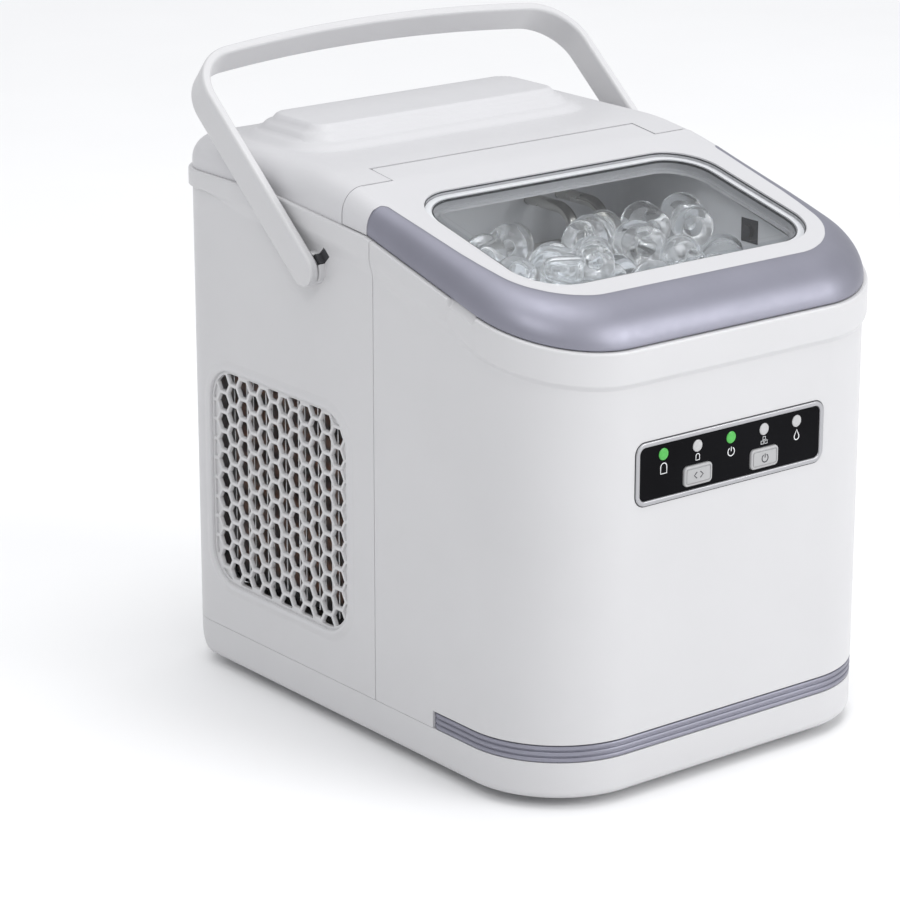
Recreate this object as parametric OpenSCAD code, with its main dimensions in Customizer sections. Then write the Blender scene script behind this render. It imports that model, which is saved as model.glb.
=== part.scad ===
// Portable countertop ice maker: two-piece casing, hinged windowed lid, bail
// handle, push-button panel, lift-out basket, tilting freezing tray and its
// refrigeration parts. Millimetres, +Z up, front faces -Y, origin on the floor
// under the middle of the casing.

/* [Casing] */
// overall width of the casing
body_w = 222; // [200:1:250]
// overall depth of the casing
body_d = 286.8; // [260:0.1:320]
// plan radius of the two front corners
corner_front = 50; // [35:1:60]
// plan radius of the two rear corners
corner_rear = 22; // [15:1:30]
// wall thickness of the moulded shells
wall = 2.5; // [2:0.1:3.5]
// height of the rubber feet under the tray
foot_h = 5; // [3:0.5:10]
// height of the top edge of the base tray
tray_top = 23.5; // [20:0.5:30]
// height of the ridged trim strip
strip_h = 8.5; // [6:0.5:12]
// height of the casing rim at the rear
rim_rear = 257.2; // [240:0.1:280]
// how far the rim bead stands out
bead = 2; // [1:0.5:3]
// place of the joint between front and rear casings
seam_y = -18.4; // [-40:0.1:10]

/* [Top] */
// height of the flat rear cover
cover_top = 272.8; // [265:0.1:280]
// height of the raised panel on the cover
raised_top = 283; // [275:0.5:290]
// edge rounding of the rear cover
cover_round = 12; // [8:0.5:16]
// rear edge of the lid beside the hinge
lid_rear = 4.4; // [0:0.1:8]
// slope of the lid, rise per unit depth
lid_slope = 0.24; // [0.1:0.01:0.3]
// edge rounding of the lid
lid_round = 15; // [10:0.5:18]
// half the width of the window
window_half = 88; // [70:0.5:92]

/* [Handle] */
// height of the handle pivot
pivot_z = 228; // [210:1:240]
// depth position of the handle pivot
pivot_y = 26.2; // [10:0.1:40]
// lean of the handle back from upright, as it stands
handle_lean = 50.3; // [5:0.1:97]
// reach of the handle from pivot to grip
handle_reach = 133.4; // [125:0.1:150]
// half the distance between the arms
handle_half = 117.5; // [116:0.1:120]
// strap width of the handle
strap_w = 16.8; // [12:0.1:22]
// strap thickness of the handle
strap_t = 4.9; // [4:0.1:8]

/* [Vent] */
// spacing of the honeycomb rows
cell_pitch = 10.2; // [8:0.1:14]
// width of the webs between cells
cell_web = 2; // [1:0.1:3]

/* [Panel] */
// height of the middle of the control panel
panel_z = 157; // [140:1:170]
// distance between the lamps
lamp_pitch = 20.6; // [15:0.1:24]

/* [Hidden] */
$fn = 48;
hw = body_w / 2;
hd = body_d / 2;
front_y = -hd;
lid_ang = atan(lid_slope);
lid_front = -151.5;
hinge_y = 13.5;
hinge_z = 266;
tray_y = 5;
tray_z = 205;
fan_y = 59;
fan_z = 104;
comp_x = 38;
comp_y = 85;
drain_x = -70;
drain_z = 40;
hose_low_y = 2.4;
hose_top_y = 15.6;
pin_r = 2;
big = 400;

// ---------- shared outlines ----------

// height of the casing rim at depth y
function rim_z(y) = y > 56 ? rim_rear
  : y > -14 ? rim_rear - (56 - y) * 0.09
  : rim_rear - 6.3 - (-14 - y) * 0.262;

// plan of the casing, moved inwards by d
module plan(d) {
  rf = corner_front - d;
  rr = corner_rear - d;
  for (s = [-1, 1]) {
    translate([s * (hw - corner_front), front_y + corner_front]) circle(r = rf, $fn = 96);
    translate([s * (hw - corner_rear), hd - corner_rear]) circle(r = rr, $fn = 96);
  }
  translate([-hw + corner_front, front_y + d])
    square([body_w - 2 * corner_front, 100]);
  translate([-hw + d, front_y + corner_front])
    square([body_w - 2 * d, body_d - corner_front - corner_rear]);
  translate([-hw + corner_rear, 0])
    square([body_w - 2 * corner_rear, hd - d]);
}

// a prism across the width whose section is given in depth and height
module across(pts, w = big) {
  rotate([90, 0, 90]) linear_extrude(w, center = true) polygon(pts);
}

// everything below the rim, lowered by drop at the rear and by front_drop at the front
module below_rim(drop = 0, front_drop = 0) {
  across([
    [-200, -10],
    [-200, rim_z(-200) - front_drop],
    [-14, rim_z(-14) - drop],
    [56, rim_z(56) - drop],
    [200, rim_z(200) - drop],
    [200, -10]
  ]);
}

module above_rim(gap) {
  difference() {
    translate([-200, -200, 150]) cube([400, 400, 200]);
    below_rim(-gap, -gap);
  }
}

module depth_range(y0, y1) {
  translate([-200, y0, -20]) cube([400, y1 - y0, 500]);
}

// upright wall following the plan
module plan_wall(z0, z1, outer, inner) {
  translate([0, 0, z0]) linear_extrude(z1 - z0) difference() {
    plan(outer);
    plan(inner);
  }
}

module rounded_rect(x0, x1, y0, y1, r) {
  for (x = [x0 + r, x1 - r]) for (y = [y0 + r, y1 - r])
    translate([x, y]) circle(r = r, $fn = 48);
  translate([x0 + r, y0]) square([x1 - x0 - 2 * r, y1 - y0]);
  translate([x0, y0 + r]) square([x1 - x0, y1 - y0 - 2 * r]);
}

// plate standing on the front face: section in width and height
module on_front(y0, y1) {
  translate([0, y1, 0]) rotate([90, 0, 0]) linear_extrude(y1 - y0) children();
}

// plate standing on a side: section in depth and height
module on_side(x0, x1) {
  translate([x0, 0, 0]) rotate([90, 0, 90]) linear_extrude(x1 - x0) children();
}

module rod_x(x0, x1, y, z, r) {
  translate([x0, y, z]) rotate([0, 90, 0]) cylinder(r = r, h = x1 - x0);
}

module rod_y(x, y0, y1, z, r) {
  translate([x, y0, z]) rotate([-90, 0, 0]) cylinder(r = r, h = y1 - y0);
}

module rod_z(x, y, z0, z1, r) {
  translate([x, y, z0]) cylinder(r = r, h = z1 - z0);
}

// ---------- base ----------

module tray_side_section(d) {
  r = 18;
  translate([front_y - 10, foot_h + d]) square([body_d - r + 10, 60]);
  translate([0, foot_h + r]) square([hd - d, 60]);
  translate([hd - r, foot_h + r]) circle(r = r - d, $fn = 96);
}

module tray_front_section(d) {
  c = 4;
  polygon([
    [-hw + d + c, foot_h + d],
    [hw - d - c, foot_h + d],
    [hw - d, foot_h + d + c],
    [hw - d, 80],
    [-hw + d, 80],
    [-hw + d, foot_h + d + c]
  ]);
}

module tray_body(d) {
  intersection() {
    translate([0, 0, foot_h + d]) linear_extrude(tray_top - foot_h) plan(d);
    on_side(-200, 200) tray_side_section(d);
    on_front(-200, 200) tray_front_section(d);
  }
}

module base_tray() color("whitesmoke") {
  difference() {
    union() {
      difference() {
        intersection() {
          tray_body(0);
          translate([-200, -200, 0]) cube([400, 400, tray_top - 0.1]);
        }
        tray_body(wall);
      }
      for (x = [-96, 96]) for (y = [-84, 106]) rod_z(x, y, foot_h + 1, tray_top - 0.1, 5);
      for (x = [comp_x - 38, comp_x + 38]) for (y = [comp_y - 38, comp_y + 38])
        rod_z(x, y, foot_h + 1, 14, 7);
    }
    for (x = [-96, 96]) for (y = [-84, 106]) {
      rod_z(x, y, 0, 40, 1.7);
      rod_z(x, y, 0, foot_h + 3, 3.8);
    }
    for (x = [-82, 82]) for (y = [-108, 104]) rod_z(x, y, 0, 20, 2.5);
    for (x = [comp_x - 38, comp_x + 38]) for (y = [comp_y - 38, comp_y + 38])
      rod_z(x, y, 8, 20, 2);
    for (x = [-60 : 10 : 0]) translate([x, 40, 0]) cube([4, 70, 20]);
  }
}

module rubber_feet() color("dimgray") {
  for (x = [-82, 82]) for (y = [-108, 104]) {
    rod_z(x, y, 0, foot_h, 9);
    rod_z(x, y, foot_h, 8.5, 2.4);
    rod_z(x, y, 7.6, 9.5, 4);
  }
}

module base_screws() color("silver") {
  for (x = [-96, 96]) for (y = [-84, 106]) difference() {
    union() {
      rod_z(x, y, foot_h + 0.6, foot_h + 2.9, 3.4);
      rod_z(x, y, foot_h + 2, 34, 1.5);
    }
    translate([x - 2.4, y - 0.5, 0]) cube([4.8, 1, foot_h + 1.6]);
    translate([x - 0.5, y - 2.4, 0]) cube([1, 4.8, foot_h + 1.6]);
  }
}

module base_trim_strip() color("lightsteelblue") {
  intersection() {
    union() {
      plan_wall(tray_top + 0.1, tray_top + strip_h - 0.1, 0.7, 1.7);
      for (i = [0 : 2])
        plan_wall(tray_top + 0.1 + i * 3.1, tray_top + 2.2 + i * 3.1, 0, 0.8);
    }
    depth_range(-200, -63.4);
  }
}

// ---------- casings ----------

module casing_shell() {
  difference() {
    union() {
      intersection() {
        plan_wall(tray_top, 300, 0, wall);
        below_rim();
      }
      difference() {
        intersection() {
          plan_wall(190, 300, -bead, 0.1);
          below_rim();
        }
        below_rim(10, 17);
      }
    }
  }
}

module casing_boss(x, y) {
  difference() {
    union() {
      rod_z(x, y, tray_top, 44, 4.6);
      translate([x > 0 ? x : x - 13, y - 1.2, tray_top]) cube([13, 2.4, 20]);
    }
    rod_z(x, y, 0, 36, 1.55);
  }
}

module front_casing() color("white") {
  difference() {
    union() {
      intersection() {
        casing_shell();
        depth_range(-200, seam_y - 0.1);
      }
      intersection() {
        union() {
          casing_boss(-96, -84);
          casing_boss(96, -84);
        }
        translate([0, 0, 0]) linear_extrude(100) plan(1);
      }
    }
    intersection() {
      plan_wall(tray_top - 1, tray_top + strip_h, -1, 1.8);
      depth_range(-200, -63.2);
    }
    on_front(front_y - 1, front_y + wall + 1)
      rounded_rect(-56.6, 56.6, panel_z - 13.6, panel_z + 13.6, 4);
    for (s = [-1, 1])
      intersection() {
        translate([s * 113 - 3.4, -98, 200]) cube([6.8, 24, 60]);
        above_rim(-3);
      }
  }
}

module vent_outline(d) {
  rounded_rect(3 - d, 117 + d, 48 - d, 160 + d, 18 + d);
}

module handle_keyhole(x0, x1, c) {
  rod_x(x0, x1, pivot_y, pivot_z, 5.06 + c);
  translate([x0, pivot_y, pivot_z]) rotate([-45, 0, 0]) translate([0, -13, -2.6])
    cube([x1 - x0, 13, 5.2]);
}

module rear_casing() color("white") {
  difference() {
    union() {
      intersection() {
        casing_shell();
        depth_range(seam_y + 0.1, 200);
      }
      intersection() {
        union() {
          casing_boss(-96, 106);
          casing_boss(96, 106);
        }
        translate([0, 0, 0]) linear_extrude(100) plan(1);
      }
      for (s = [-1, 1]) on_side(s > 0 ? hw - 0.5 : -hw - 0.9, s > 0 ? hw + 0.9 : -hw + 0.5)
        difference() {
          vent_outline(3);
          vent_outline(0);
        }
      for (s = [-1, 1])
        rod_x(s > 0 ? hw - 1 : -hw - 3.4, s > 0 ? hw + 3.4 : -hw + 1, pivot_y, pivot_z, 8);
    }
    for (s = [-1, 1]) on_side(s > 0 ? hw - 6 : -hw - 6, s > 0 ? hw + 6 : -hw + 6)
      vent_outline(0);
    for (s = [-1, 1])
      handle_keyhole(s > 0 ? hw - 6 : -hw - 6, s > 0 ? hw + 6 : -hw + 6, 0);
    on_front(hd - 6, hd + 6) rounded_rect(-70, 70, 76, 196, 8);
    rod_y(drain_x, hd - 10, hd + 10, drain_z, 11.1);
    rod_y(72, hd - 10, hd + 10, drain_z, 7.1);
  }
}

// ---------- grilles ----------

// hexagonal holes that lie wholly inside the vent opening
module cells() {
  pitch_y = cell_pitch * 0.846;
  r = (cell_pitch - cell_web) / 2 / cos(30);
  for (i = [-6 : 6]) for (j = [-6 : 6]) {
    y = 64.1 + i * pitch_y;
    z = 106.5 + (j + (abs(i) % 2 == 1 ? 0.5 : 0)) * cell_pitch;
    dy = max(0, abs(y - 60) - 39);
    dz = max(0, abs(z - 104) - 38);
    if (norm([dy, dz]) < 13) translate([y, z]) circle(r = r, $fn = 6);
  }
}

module side_grille(s) {
  x0 = s > 0 ? hw - 4.6 : -hw + 1.2;
  x1 = s > 0 ? hw - 1.2 : -hw + 4.6;
  f0 = s > 0 ? hw - 4.6 : -hw + wall + 0.1;
  f1 = s > 0 ? hw - wall - 0.1 : -hw + 4.6;
  on_side(x0, x1) difference() {
    vent_outline(-0.15);
    cells();
  }
  on_side(f0, f1) difference() {
    vent_outline(4);
    vent_outline(-1);
  }
}

module left_vent_grille() color("gainsboro") side_grille(-1);

module right_vent_grille() color("gainsboro") side_grille(1);

module rear_louvre() color("gainsboro") {
  on_front(hd - wall - 2.2, hd - 0.8) difference() {
    rounded_rect(-69.8, 69.8, 76.2, 195.8, 7.8);
    for (i = [0 : 12]) rounded_rect(-62, -3, 82 + i * 8.4, 87 + i * 8.4, 2.4);
    for (i = [0 : 12]) rounded_rect(3, 62, 82 + i * 8.4, 87 + i * 8.4, 2.4);
  }
  on_front(hd - wall - 2.2, hd - wall - 0.1) difference() {
    rounded_rect(-74, 74, 72, 200, 10);
    rounded_rect(-68, 68, 78, 194, 7);
  }
}

// ---------- top cover ----------

// rounded cap over the rear half, moved inwards by d
module cap(d) {
  r = cover_round - d;
  zc = cover_top - cover_round;
  translate([0, 0, zc - 6]) linear_extrude(6) plan(d);
  translate([0, 0, zc - 6]) linear_extrude(cover_round + 6 - d) plan(cover_round);
  for (s = [-1, 1]) {
    rod_y(s * (hw - cover_round), -20, hd - corner_rear, zc, r);
    translate([s * (hw - corner_rear), hd - corner_rear, zc]) rotate_extrude($fn = 96) {
      square([corner_rear - cover_round, r]);
      intersection() {
        translate([corner_rear - cover_round, 0]) circle(r = r);
        square([60, 60]);
      }
    }
  }
  rod_x(-hw + corner_rear, hw - corner_rear, hd - cover_round, zc, r);
}

module raised_panel(d) {
  intersection() {
    across([
      [54 + d, cover_top - 4],
      [60 + d, cover_top + 4],
      [67 + d, raised_top - 1 - d],
      [70 + d, raised_top - d],
      [108 - d, raised_top - d],
      [113 - d, raised_top - 1 - d],
      [126 - d, cover_top - 4]
    ]);
    on_front(-200, 200) polygon([
      [-88 + d, cover_top - 4],
      [-77 + d, raised_top - 1 - d],
      [-73 + d, raised_top - d],
      [73 - d, raised_top - d],
      [77 - d, raised_top - 1 - d],
      [88 - d, cover_top - 4]
    ]);
  }
}

module cover_limits() {
  intersection() {
    depth_range(lid_rear + 0.7, 200);
    above_rim(0.15);
    across([
      [-10, 200],
      [-10, 267.6],
      [24, cover_top - 0.5],
      [60, cover_top + 12],
      [200, cover_top + 12],
      [200, 200]
    ]);
  }
}

module top_cover() color("white") {
  difference() {
    union() {
      difference() {
        union() {
          intersection() {
            cap(0);
            cover_limits();
          }
          raised_panel(0);
        }
        difference() {
          union() {
            cap(wall);
            raised_panel(wall);
          }
          depth_range(-50, lid_rear + 3.2);
          across([
            [-10, 266],
            [24, cover_top - 0.5 - wall],
            [60, cover_top - wall],
            [60, 300],
            [-10, 300]
          ]);
        }
      }
      for (s = [-1, 1]) translate([s * 85.2 - 2.8, hinge_y - 4.4, 258]) cube([5.6, 8.8, 11]);
      translate([-84, lid_rear + 0.9, 254.6]) cube([168, 22, 1.8]);
    }
    translate([-82, lid_rear - 1, 258.4]) cube([164, hinge_y - lid_rear + 1, 40]);
    rod_x(-82, 82, hinge_y, hinge_z, 10.9);
    rod_x(-88, 88, hinge_y, hinge_z, pin_r + 0.02);
  }
}

module hinge_pins() color("silver") {
  for (s = [-1, 1]) rod_x(s > 0 ? 74.5 : -87.9, s > 0 ? 87.9 : -74.5, hinge_y, hinge_z, pin_r);
}

// ---------- lid ----------

// work in the plane of the lid: top face at z = 0, rear hinge edge at y = 0
module in_lid_plane() {
  translate([0, lid_rear + 0.6, 269.6]) rotate([lid_ang, 0, 0]) children();
}

// outline in the lid plane, moved inwards by d
module lid_plan(d) {
  rf = corner_front - d;
  for (s = [-1, 1])
    translate([s * (hw - corner_front), lid_front + corner_front]) circle(r = rf, $fn = 96);
  translate([-hw + corner_front, lid_front + d]) square([body_w - 2 * corner_front, 100]);
  translate([-hw + d, lid_front + corner_front]) square([body_w - 2 * d, 130]);
}

module lid_block(d) {
  r = lid_round + 3 - d;
  zc = -lid_round - 3;
  intersection() {
    in_lid_plane() {
      translate([0, 0, -60]) linear_extrude(60 + zc) lid_plan(d - 3);
      translate([0, 0, -60]) linear_extrude(60 - d) lid_plan(lid_round);
      for (s = [-1, 1]) {
        rod_y(s * (hw - lid_round), lid_front + corner_front, 24, zc, r);
        translate([s * (hw - corner_front), lid_front + corner_front, zc])
          rotate_extrude($fn = 96) {
            square([corner_front - lid_round, r]);
            intersection() {
              translate([corner_front - lid_round, 0]) circle(r = r);
              square([90, 90]);
            }
          }
      }
      rod_x(-hw + corner_front, hw - corner_front, lid_front + lid_round, zc, r);
    }
    translate([0, 0, 100]) linear_extrude(200) plan(d);
  }
}

module lid_shell() {
  intersection() {
    difference() {
      lid_block(0);
      intersection() {
        lid_block(wall);
        depth_range(-200, lid_rear - wall);
      }
    }
    above_rim(0.5);
    depth_range(-200, lid_rear);
  }
}

module window_plan(d) {
  rounded_rect(-window_half + d, window_half - d, -120.6 + d, -17.2 - d, 25 - d);
}

module frame_region(d) {
  in_lid_plane() translate([0, 0, -60]) linear_extrude(90) lid_plan(13 - d);
  depth_range(-13.8 - d, 60);
}

module lid_frame() color("white") {
  difference() {
    union() {
      intersection() {
        lid_shell();
        frame_region(-0.1);
      }
      // hinge tab reaching back into the cover
      intersection() {
        across([
          [lid_rear - 1.4, 266.8],
          [lid_rear - 1.4, 269.4],
          [24, 271.9],
          [24, 269.4]
        ], 162.6);
        union() {
          rod_x(-90, 90, hinge_y, hinge_z, 10.2);
          depth_range(0, hinge_y);
        }
      }
      for (s = [-1, 1]) rod_x(s > 0 ? 74 : -81.3, s > 0 ? 81.3 : -74, hinge_y, hinge_z, 3.9);
      // ledge that carries the window
      in_lid_plane() translate([0, 0, -5.4]) linear_extrude(3) difference() {
        window_plan(-3);
        window_plan(4);
      }
    }
    in_lid_plane() translate([0, 0, -3.4]) linear_extrude(10) window_plan(0);
    in_lid_plane() translate([0, 0, -20]) linear_extrude(30) window_plan(4);
    rod_x(-90, 90, hinge_y, hinge_z, pin_r + 0.06);
  }
}

module lid_band() color("lightsteelblue") {
  difference() {
    lid_shell();
    frame_region(0.1);
  }
}

module lid_inner_ring() color("white") {
  in_lid_plane() translate([0, 0, -9.5]) linear_extrude(1.8) difference() {
    intersection() {
      lid_plan(7);
      translate([-200, -200]) square([400, 193]);
    }
    window_plan(5);
  }
  in_lid_plane() translate([0, 0, -7.8]) linear_extrude(2.3) difference() {
    window_plan(1);
    window_plan(3);
  }
}

module lid_window() color([0.85, 0.9, 0.95, 0.35]) {
  in_lid_plane() {
    translate([0, 0, -2.6]) linear_extrude(2.3) window_plan(0.3);
    translate([0, 0, -7.5]) linear_extrude(5) difference() {
      window_plan(5);
      window_plan(7.5);
    }
  }
}

module window_gasket() color("gray") {
  in_lid_plane() translate([0, 0, -3.3]) linear_extrude(0.7) difference() {
    window_plan(0.6);
    window_plan(3.6);
  }
}

// ---------- handle ----------

// outline of the bail in its own plane, grown by o
module bail_outline(o) {
  arch = 795;
  rc = 26.4;
  cx = handle_half - rc;
  cs = handle_reach - arch + sqrt((arch - rc) * (arch - rc) - cx * cx);
  ux = cx / (arch - rc);
  us = sqrt(1 - ux * ux);
  translate([-handle_half - o, 0]) square([2 * handle_half + 2 * o, cs]);
  for (s = [-1, 1]) translate([s * cx, cs]) circle(r = rc + o, $fn = 96);
  intersection() {
    translate([0, handle_reach - arch]) circle(r = arch + o, $fn = 360);
    polygon([
      [-cx, cs],
      [-cx - 60 * ux, cs + 60 * us],
      [cx + 60 * ux, cs + 60 * us],
      [cx, cs]
    ]);
  }
}

module carry_handle() color("white") {
  t = strap_t / 2;
  translate([0, pivot_y, pivot_z]) rotate([-handle_lean, 0, 0]) {
    rotate([90, 0, 0]) translate([0, 0, -strap_w / 2]) linear_extrude(strap_w)
      difference() {
        bail_outline(t);
        bail_outline(-t);
      }
    for (s = [-1, 1]) {
      x0 = s > 0 ? handle_half - t : -handle_half - t;
      rod_x(x0, x0 + strap_t, 0, 0, strap_w / 2);
      rod_x(s > 0 ? 104.6 : -handle_half, s > 0 ? handle_half : -104.6, 0, 0, 5);
      translate([s > 0 ? 104.6 : -107.8, -2.2, -8.6]) cube([3.2, 4.4, 8.6]);
    }
  }
}

// ---------- control panel ----------

module panel_bezel() color("silver") {
  on_front(front_y - 0.8, front_y + 0.8) difference() {
    rounded_rect(-56.5, 56.5, panel_z - 13.5, panel_z + 13.5, 4);
    rounded_rect(-55.6, 55.6, panel_z - 12.6, panel_z + 12.6, 3);
  }
  on_front(front_y - 0.8, front_y) difference() {
    rounded_rect(-58, 58, panel_z - 15, panel_z + 15, 5.5);
    rounded_rect(-55.6, 55.6, panel_z - 12.6, panel_z + 12.6, 3);
  }
}

module button_outline(x, g) {
  rounded_rect(x - 8.6 - g, x + 8.6 + g, panel_z - 10.9 - g, panel_z - 1.2 + g, 3 + g);
}

module panel_face() color("black") {
  on_front(front_y - 0.2, front_y + 1.8) difference() {
    rounded_rect(-55.5, 55.5, panel_z - 12.5, panel_z + 12.5, 2.9);
    for (i = [-2 : 2]) translate([i * lamp_pitch, panel_z + 7.5]) circle(r = 3);
    button_outline(-lamp_pitch, 0.3);
    button_outline(lamp_pitch, 0.3);
  }
}

module indicator_lights() color("lime") {
  for (i = [-2 : 2]) {
    rod_y(i * lamp_pitch, front_y - 0.4, front_y + 3, panel_z + 7.5, 2.95);
  }
}

module panel_button(x) {
  on_front(front_y - 1.2, front_y + 2.1) button_outline(x, 0);
  on_front(front_y + 2.1, front_y + 3.2) button_outline(x, 1.4);
  rod_y(x, front_y + 3.2, front_y + 3.6, panel_z - 6, 2);
}

module power_button() color("lightgray") panel_button(lamp_pitch);

module select_button() color("lightgray") panel_button(-lamp_pitch);

module control_board() color("darkgreen") {
  on_front(front_y + 7.6, front_y + 9.2) rounded_rect(-54, 54, panel_z - 14, panel_z + 14, 2);
  for (i = [-2 : 2]) rod_y(i * lamp_pitch, front_y + 3.6, front_y + 7.6, panel_z + 7.5, 1.5);
}

module tact_switches() color("dimgray") {
  for (s = [-1, 1]) {
    translate([s * lamp_pitch - 3, front_y + 5.6, panel_z - 9]) cube([6, 2, 6]);
    rod_y(s * lamp_pitch, front_y + 5.2, front_y + 5.6, panel_z - 6, 1.7);
  }
}

// ---------- water and ice chamber ----------

module liner_box(d, z0, z1) {
  translate([0, 0, z0]) linear_extrude(z1 - z0)
    rounded_rect(-92 - d, 92 + d, -122 - d, -4 + d, 12);
}

module shelf_box(d, z0, z1) {
  translate([0, 0, z0]) linear_extrude(z1 - z0)
    rounded_rect(-92 - d, 92 + d, -40, 40 + d, 6);
}

module inner_liner() color("lightgray") {
  difference() {
    intersection() {
      union() {
        liner_box(wall, 92.5, 300);
        shelf_box(wall, 167.5, 300);
        linear_extrude(300) intersection() {
          plan(wall + 0.3);
          translate([-200, -200]) square([400, 242]);
        }
      }
      below_rim(0.6, 0.6);
      union() {
        translate([-95, -130, 90]) cube([190, 175, 300]);
        difference() {
          translate([-200, -200, 0]) cube([400, 400, 300]);
          below_rim(3, 3);
        }
      }
      union() {
        liner_box(wall, 92.5, 300);
        shelf_box(wall, 167.5, 300);
        difference() {
          translate([-200, -200, 0]) cube([400, 400, 300]);
          below_rim(3, 3);
        }
      }
    }
    liner_box(0, 95, 300);
    shelf_box(0, 170, 300);
    rod_z(drain_x, -20, 80, 110, 5);
    rod_z(50, -60, 80, 110, 5);
    rod_z(-84, hose_top_y, 150, 180, 3.6);
    rod_y(50, 30, 60, 238, 3.3);
    rod_y(30, 30, 60, 238, 3.3);
    rod_x(88, 100, tray_y, tray_z, 5);
    for (s = [-1, 1]) translate([s * 95 - 3.5, -60, 224]) cube([7, 12, 12]);
  }
  for (s = [-1, 1]) translate([s > 0 ? 78 : -92.2, -108, 133]) cube([14.2, 60, 5]);
}

module insulation_pads() color("khaki") {
  for (s = [-1, 1]) translate([s > 0 ? 95.2 : -105.2, -78, 98]) cube([10, 56, 100]);
  translate([-60, -1, 98]) cube([120, 8, 66]);
}

module basket_slots(x0, x1, n, z0, z1) {
  for (i = [0 : n - 1]) {
    x = x0 + (x1 - x0) * (i + 0.5) / n;
    rounded_rect(x - 2.2, x + 2.2, z0, z1, 2.1);
  }
}

module ice_basket() color("gainsboro") {
  difference() {
    union() {
      translate([0, 0, 138.4]) linear_extrude(66) rounded_rect(-82, 82, -116, -40, 10);
      translate([0, 0, 202.4]) linear_extrude(2) rounded_rect(-85, 85, -119, -37, 12);
    }
    translate([0, 0, 140.4]) linear_extrude(80) rounded_rect(-80, 80, -114, -42, 8);
    on_front(-200, 0) basket_slots(-68, 68, 12, 148, 194);
    on_side(-200, 200) basket_slots(-106, -50, 5, 148, 194);
    for (i = [-4 : 4]) for (j = [0 : 3])
      rod_z(i * 16, -102 + j * 16, 130, 150, 3.2);
  }
}

module evaporator_manifold() color("silver") {
  difference() {
    translate([-58, tray_y - 11, tray_z + 8]) cube([116, 22, 9]);
    for (i = [-4 : 4]) rod_z(i * 13, tray_y, tray_z + 6, tray_z + 12, 4.4);
    rod_z(50, tray_y, tray_z + 14, tray_z + 30, 3.05);
    rod_z(30, tray_y, tray_z + 14, tray_z + 30, 3.05);
  }
}

module freezing_fingers() color("silver") {
  for (i = [-4 : 4]) {
    rod_z(i * 13, tray_y, tray_z - 14, tray_z + 11.9, 4.3);
    translate([i * 13, tray_y, tray_z - 14]) intersection() {
      sphere(r = 4.3);
      translate([-5, -5, -5]) cube([10, 10, 5.01]);
    }
  }
}

module water_tray() color("whitesmoke") {
  difference() {
    intersection() {
      union() {
        rod_x(-68, 68, tray_y, tray_z, 26);
      }
      translate([-100, tray_y - 40, tray_z - 40]) cube([200, 80, 40]);
    }
    rod_x(-66, 66, tray_y, tray_z, 24);
    rod_x(-70, 70, tray_y, tray_z, 3.5);
  }
}

module ice_shovel() color("whitesmoke") {
  difference() {
    union() {
      translate([-62, tray_y - 31, tray_z - 1.8]) cube([124, 4.9, 1.8]);
      translate([-62, tray_y - 31, tray_z - 6]) cube([124, 1.6, 6]);
    }
    for (i = [-4 : 4]) translate([i * 13 - 2, tray_y - 40, tray_z - 10]) cube([4, 10.6, 6]);
  }
}

module tray_shafts() color("silver") {
  rod_x(64, 78, tray_y, tray_z, 3);
  rod_x(64, 65.9, tray_y, tray_z, 5);
  rod_x(65.9, 68, tray_y, tray_z, 3.42);
  rod_x(-65.9, -64, tray_y, tray_z, 5);
  rod_x(-68, -65.9, tray_y, tray_z, 3.42);
  rod_x(-78, -64, tray_y, tray_z, 3);
}

module tray_motor() color("dimgray") {
  difference() {
    union() {
      translate([74, tray_y - 16, tray_z - 16]) cube([14, 32, 32]);
      rod_x(71, 74, tray_y, tray_z, 7);
      rod_x(88, 91.9, tray_y, tray_z, 11);
    }
    rod_x(60, 80, tray_y, tray_z, 3.06);
  }
}

module tray_bush() color("ivory") {
  difference() {
    union() {
      translate([-92, tray_y - 14, tray_z - 14]) cube([4, 28, 28]);
      rod_x(-88, -71, tray_y, tray_z, 7);
    }
    rod_x(-80, -60, tray_y, tray_z, 3.06);
  }
}

module ice_sensors() color("black") {
  for (s = [-1, 1]) {
    translate([s > 0 ? 91.9 : -97.9, -59.8, 224.2]) cube([6, 11.6, 11.6]);
    rod_x(s > 0 ? 89.5 : -91.9, s > 0 ? 91.9 : -89.5, -54, 230, 3);
  }
}

// ---------- water circuit ----------

module water_pump() color("dimgray") {
  rod_z(50, -60, 50, 82, 17);
  rod_z(50, -60, 82, 95, 4.8);
  rod_z(50, -60, 34, 50, 12);
  rod_x(20, 34, -60, 62, 4);
}

module bend(x, y, z, a, r, turn = 12) {
  translate([x, y, z]) rotate(a) rotate_extrude(angle = 90, $fn = 64)
    translate([turn, 0]) circle(r = r, $fn = 24);
}

// from the pump along the floor, up in front of the condenser, back over it and up to the tray
module water_hose() color("whitesmoke") {
  step = (hose_top_y - hose_low_y) / 2;
  rod_x(-72, 19.9, -60, 62, 3.2);
  bend(-72, -48, 62, [0, 0, 180], 3.2);
  rod_y(-84, -48, hose_low_y - 12, 62, 3.2);
  bend(-84, hose_low_y - 12, 74, [0, 90, 0], 3.2);
  rod_z(-84, hose_low_y, 74, 153, 3.2);
  bend(-84, hose_low_y + step, 153, [90, 0, -90], 3.2, step);
  bend(-84, hose_low_y + step, 153 + 2 * step, [0, 90, 0], 3.2, step);
  rod_z(-84, hose_top_y, 153 + 2 * step, 226, 3.2);
  bend(-72, hose_top_y, 226, [90, 0, 90 + 90], 3.2);
  rod_x(-72, -63, hose_top_y, 238, 3.2);
}

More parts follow.
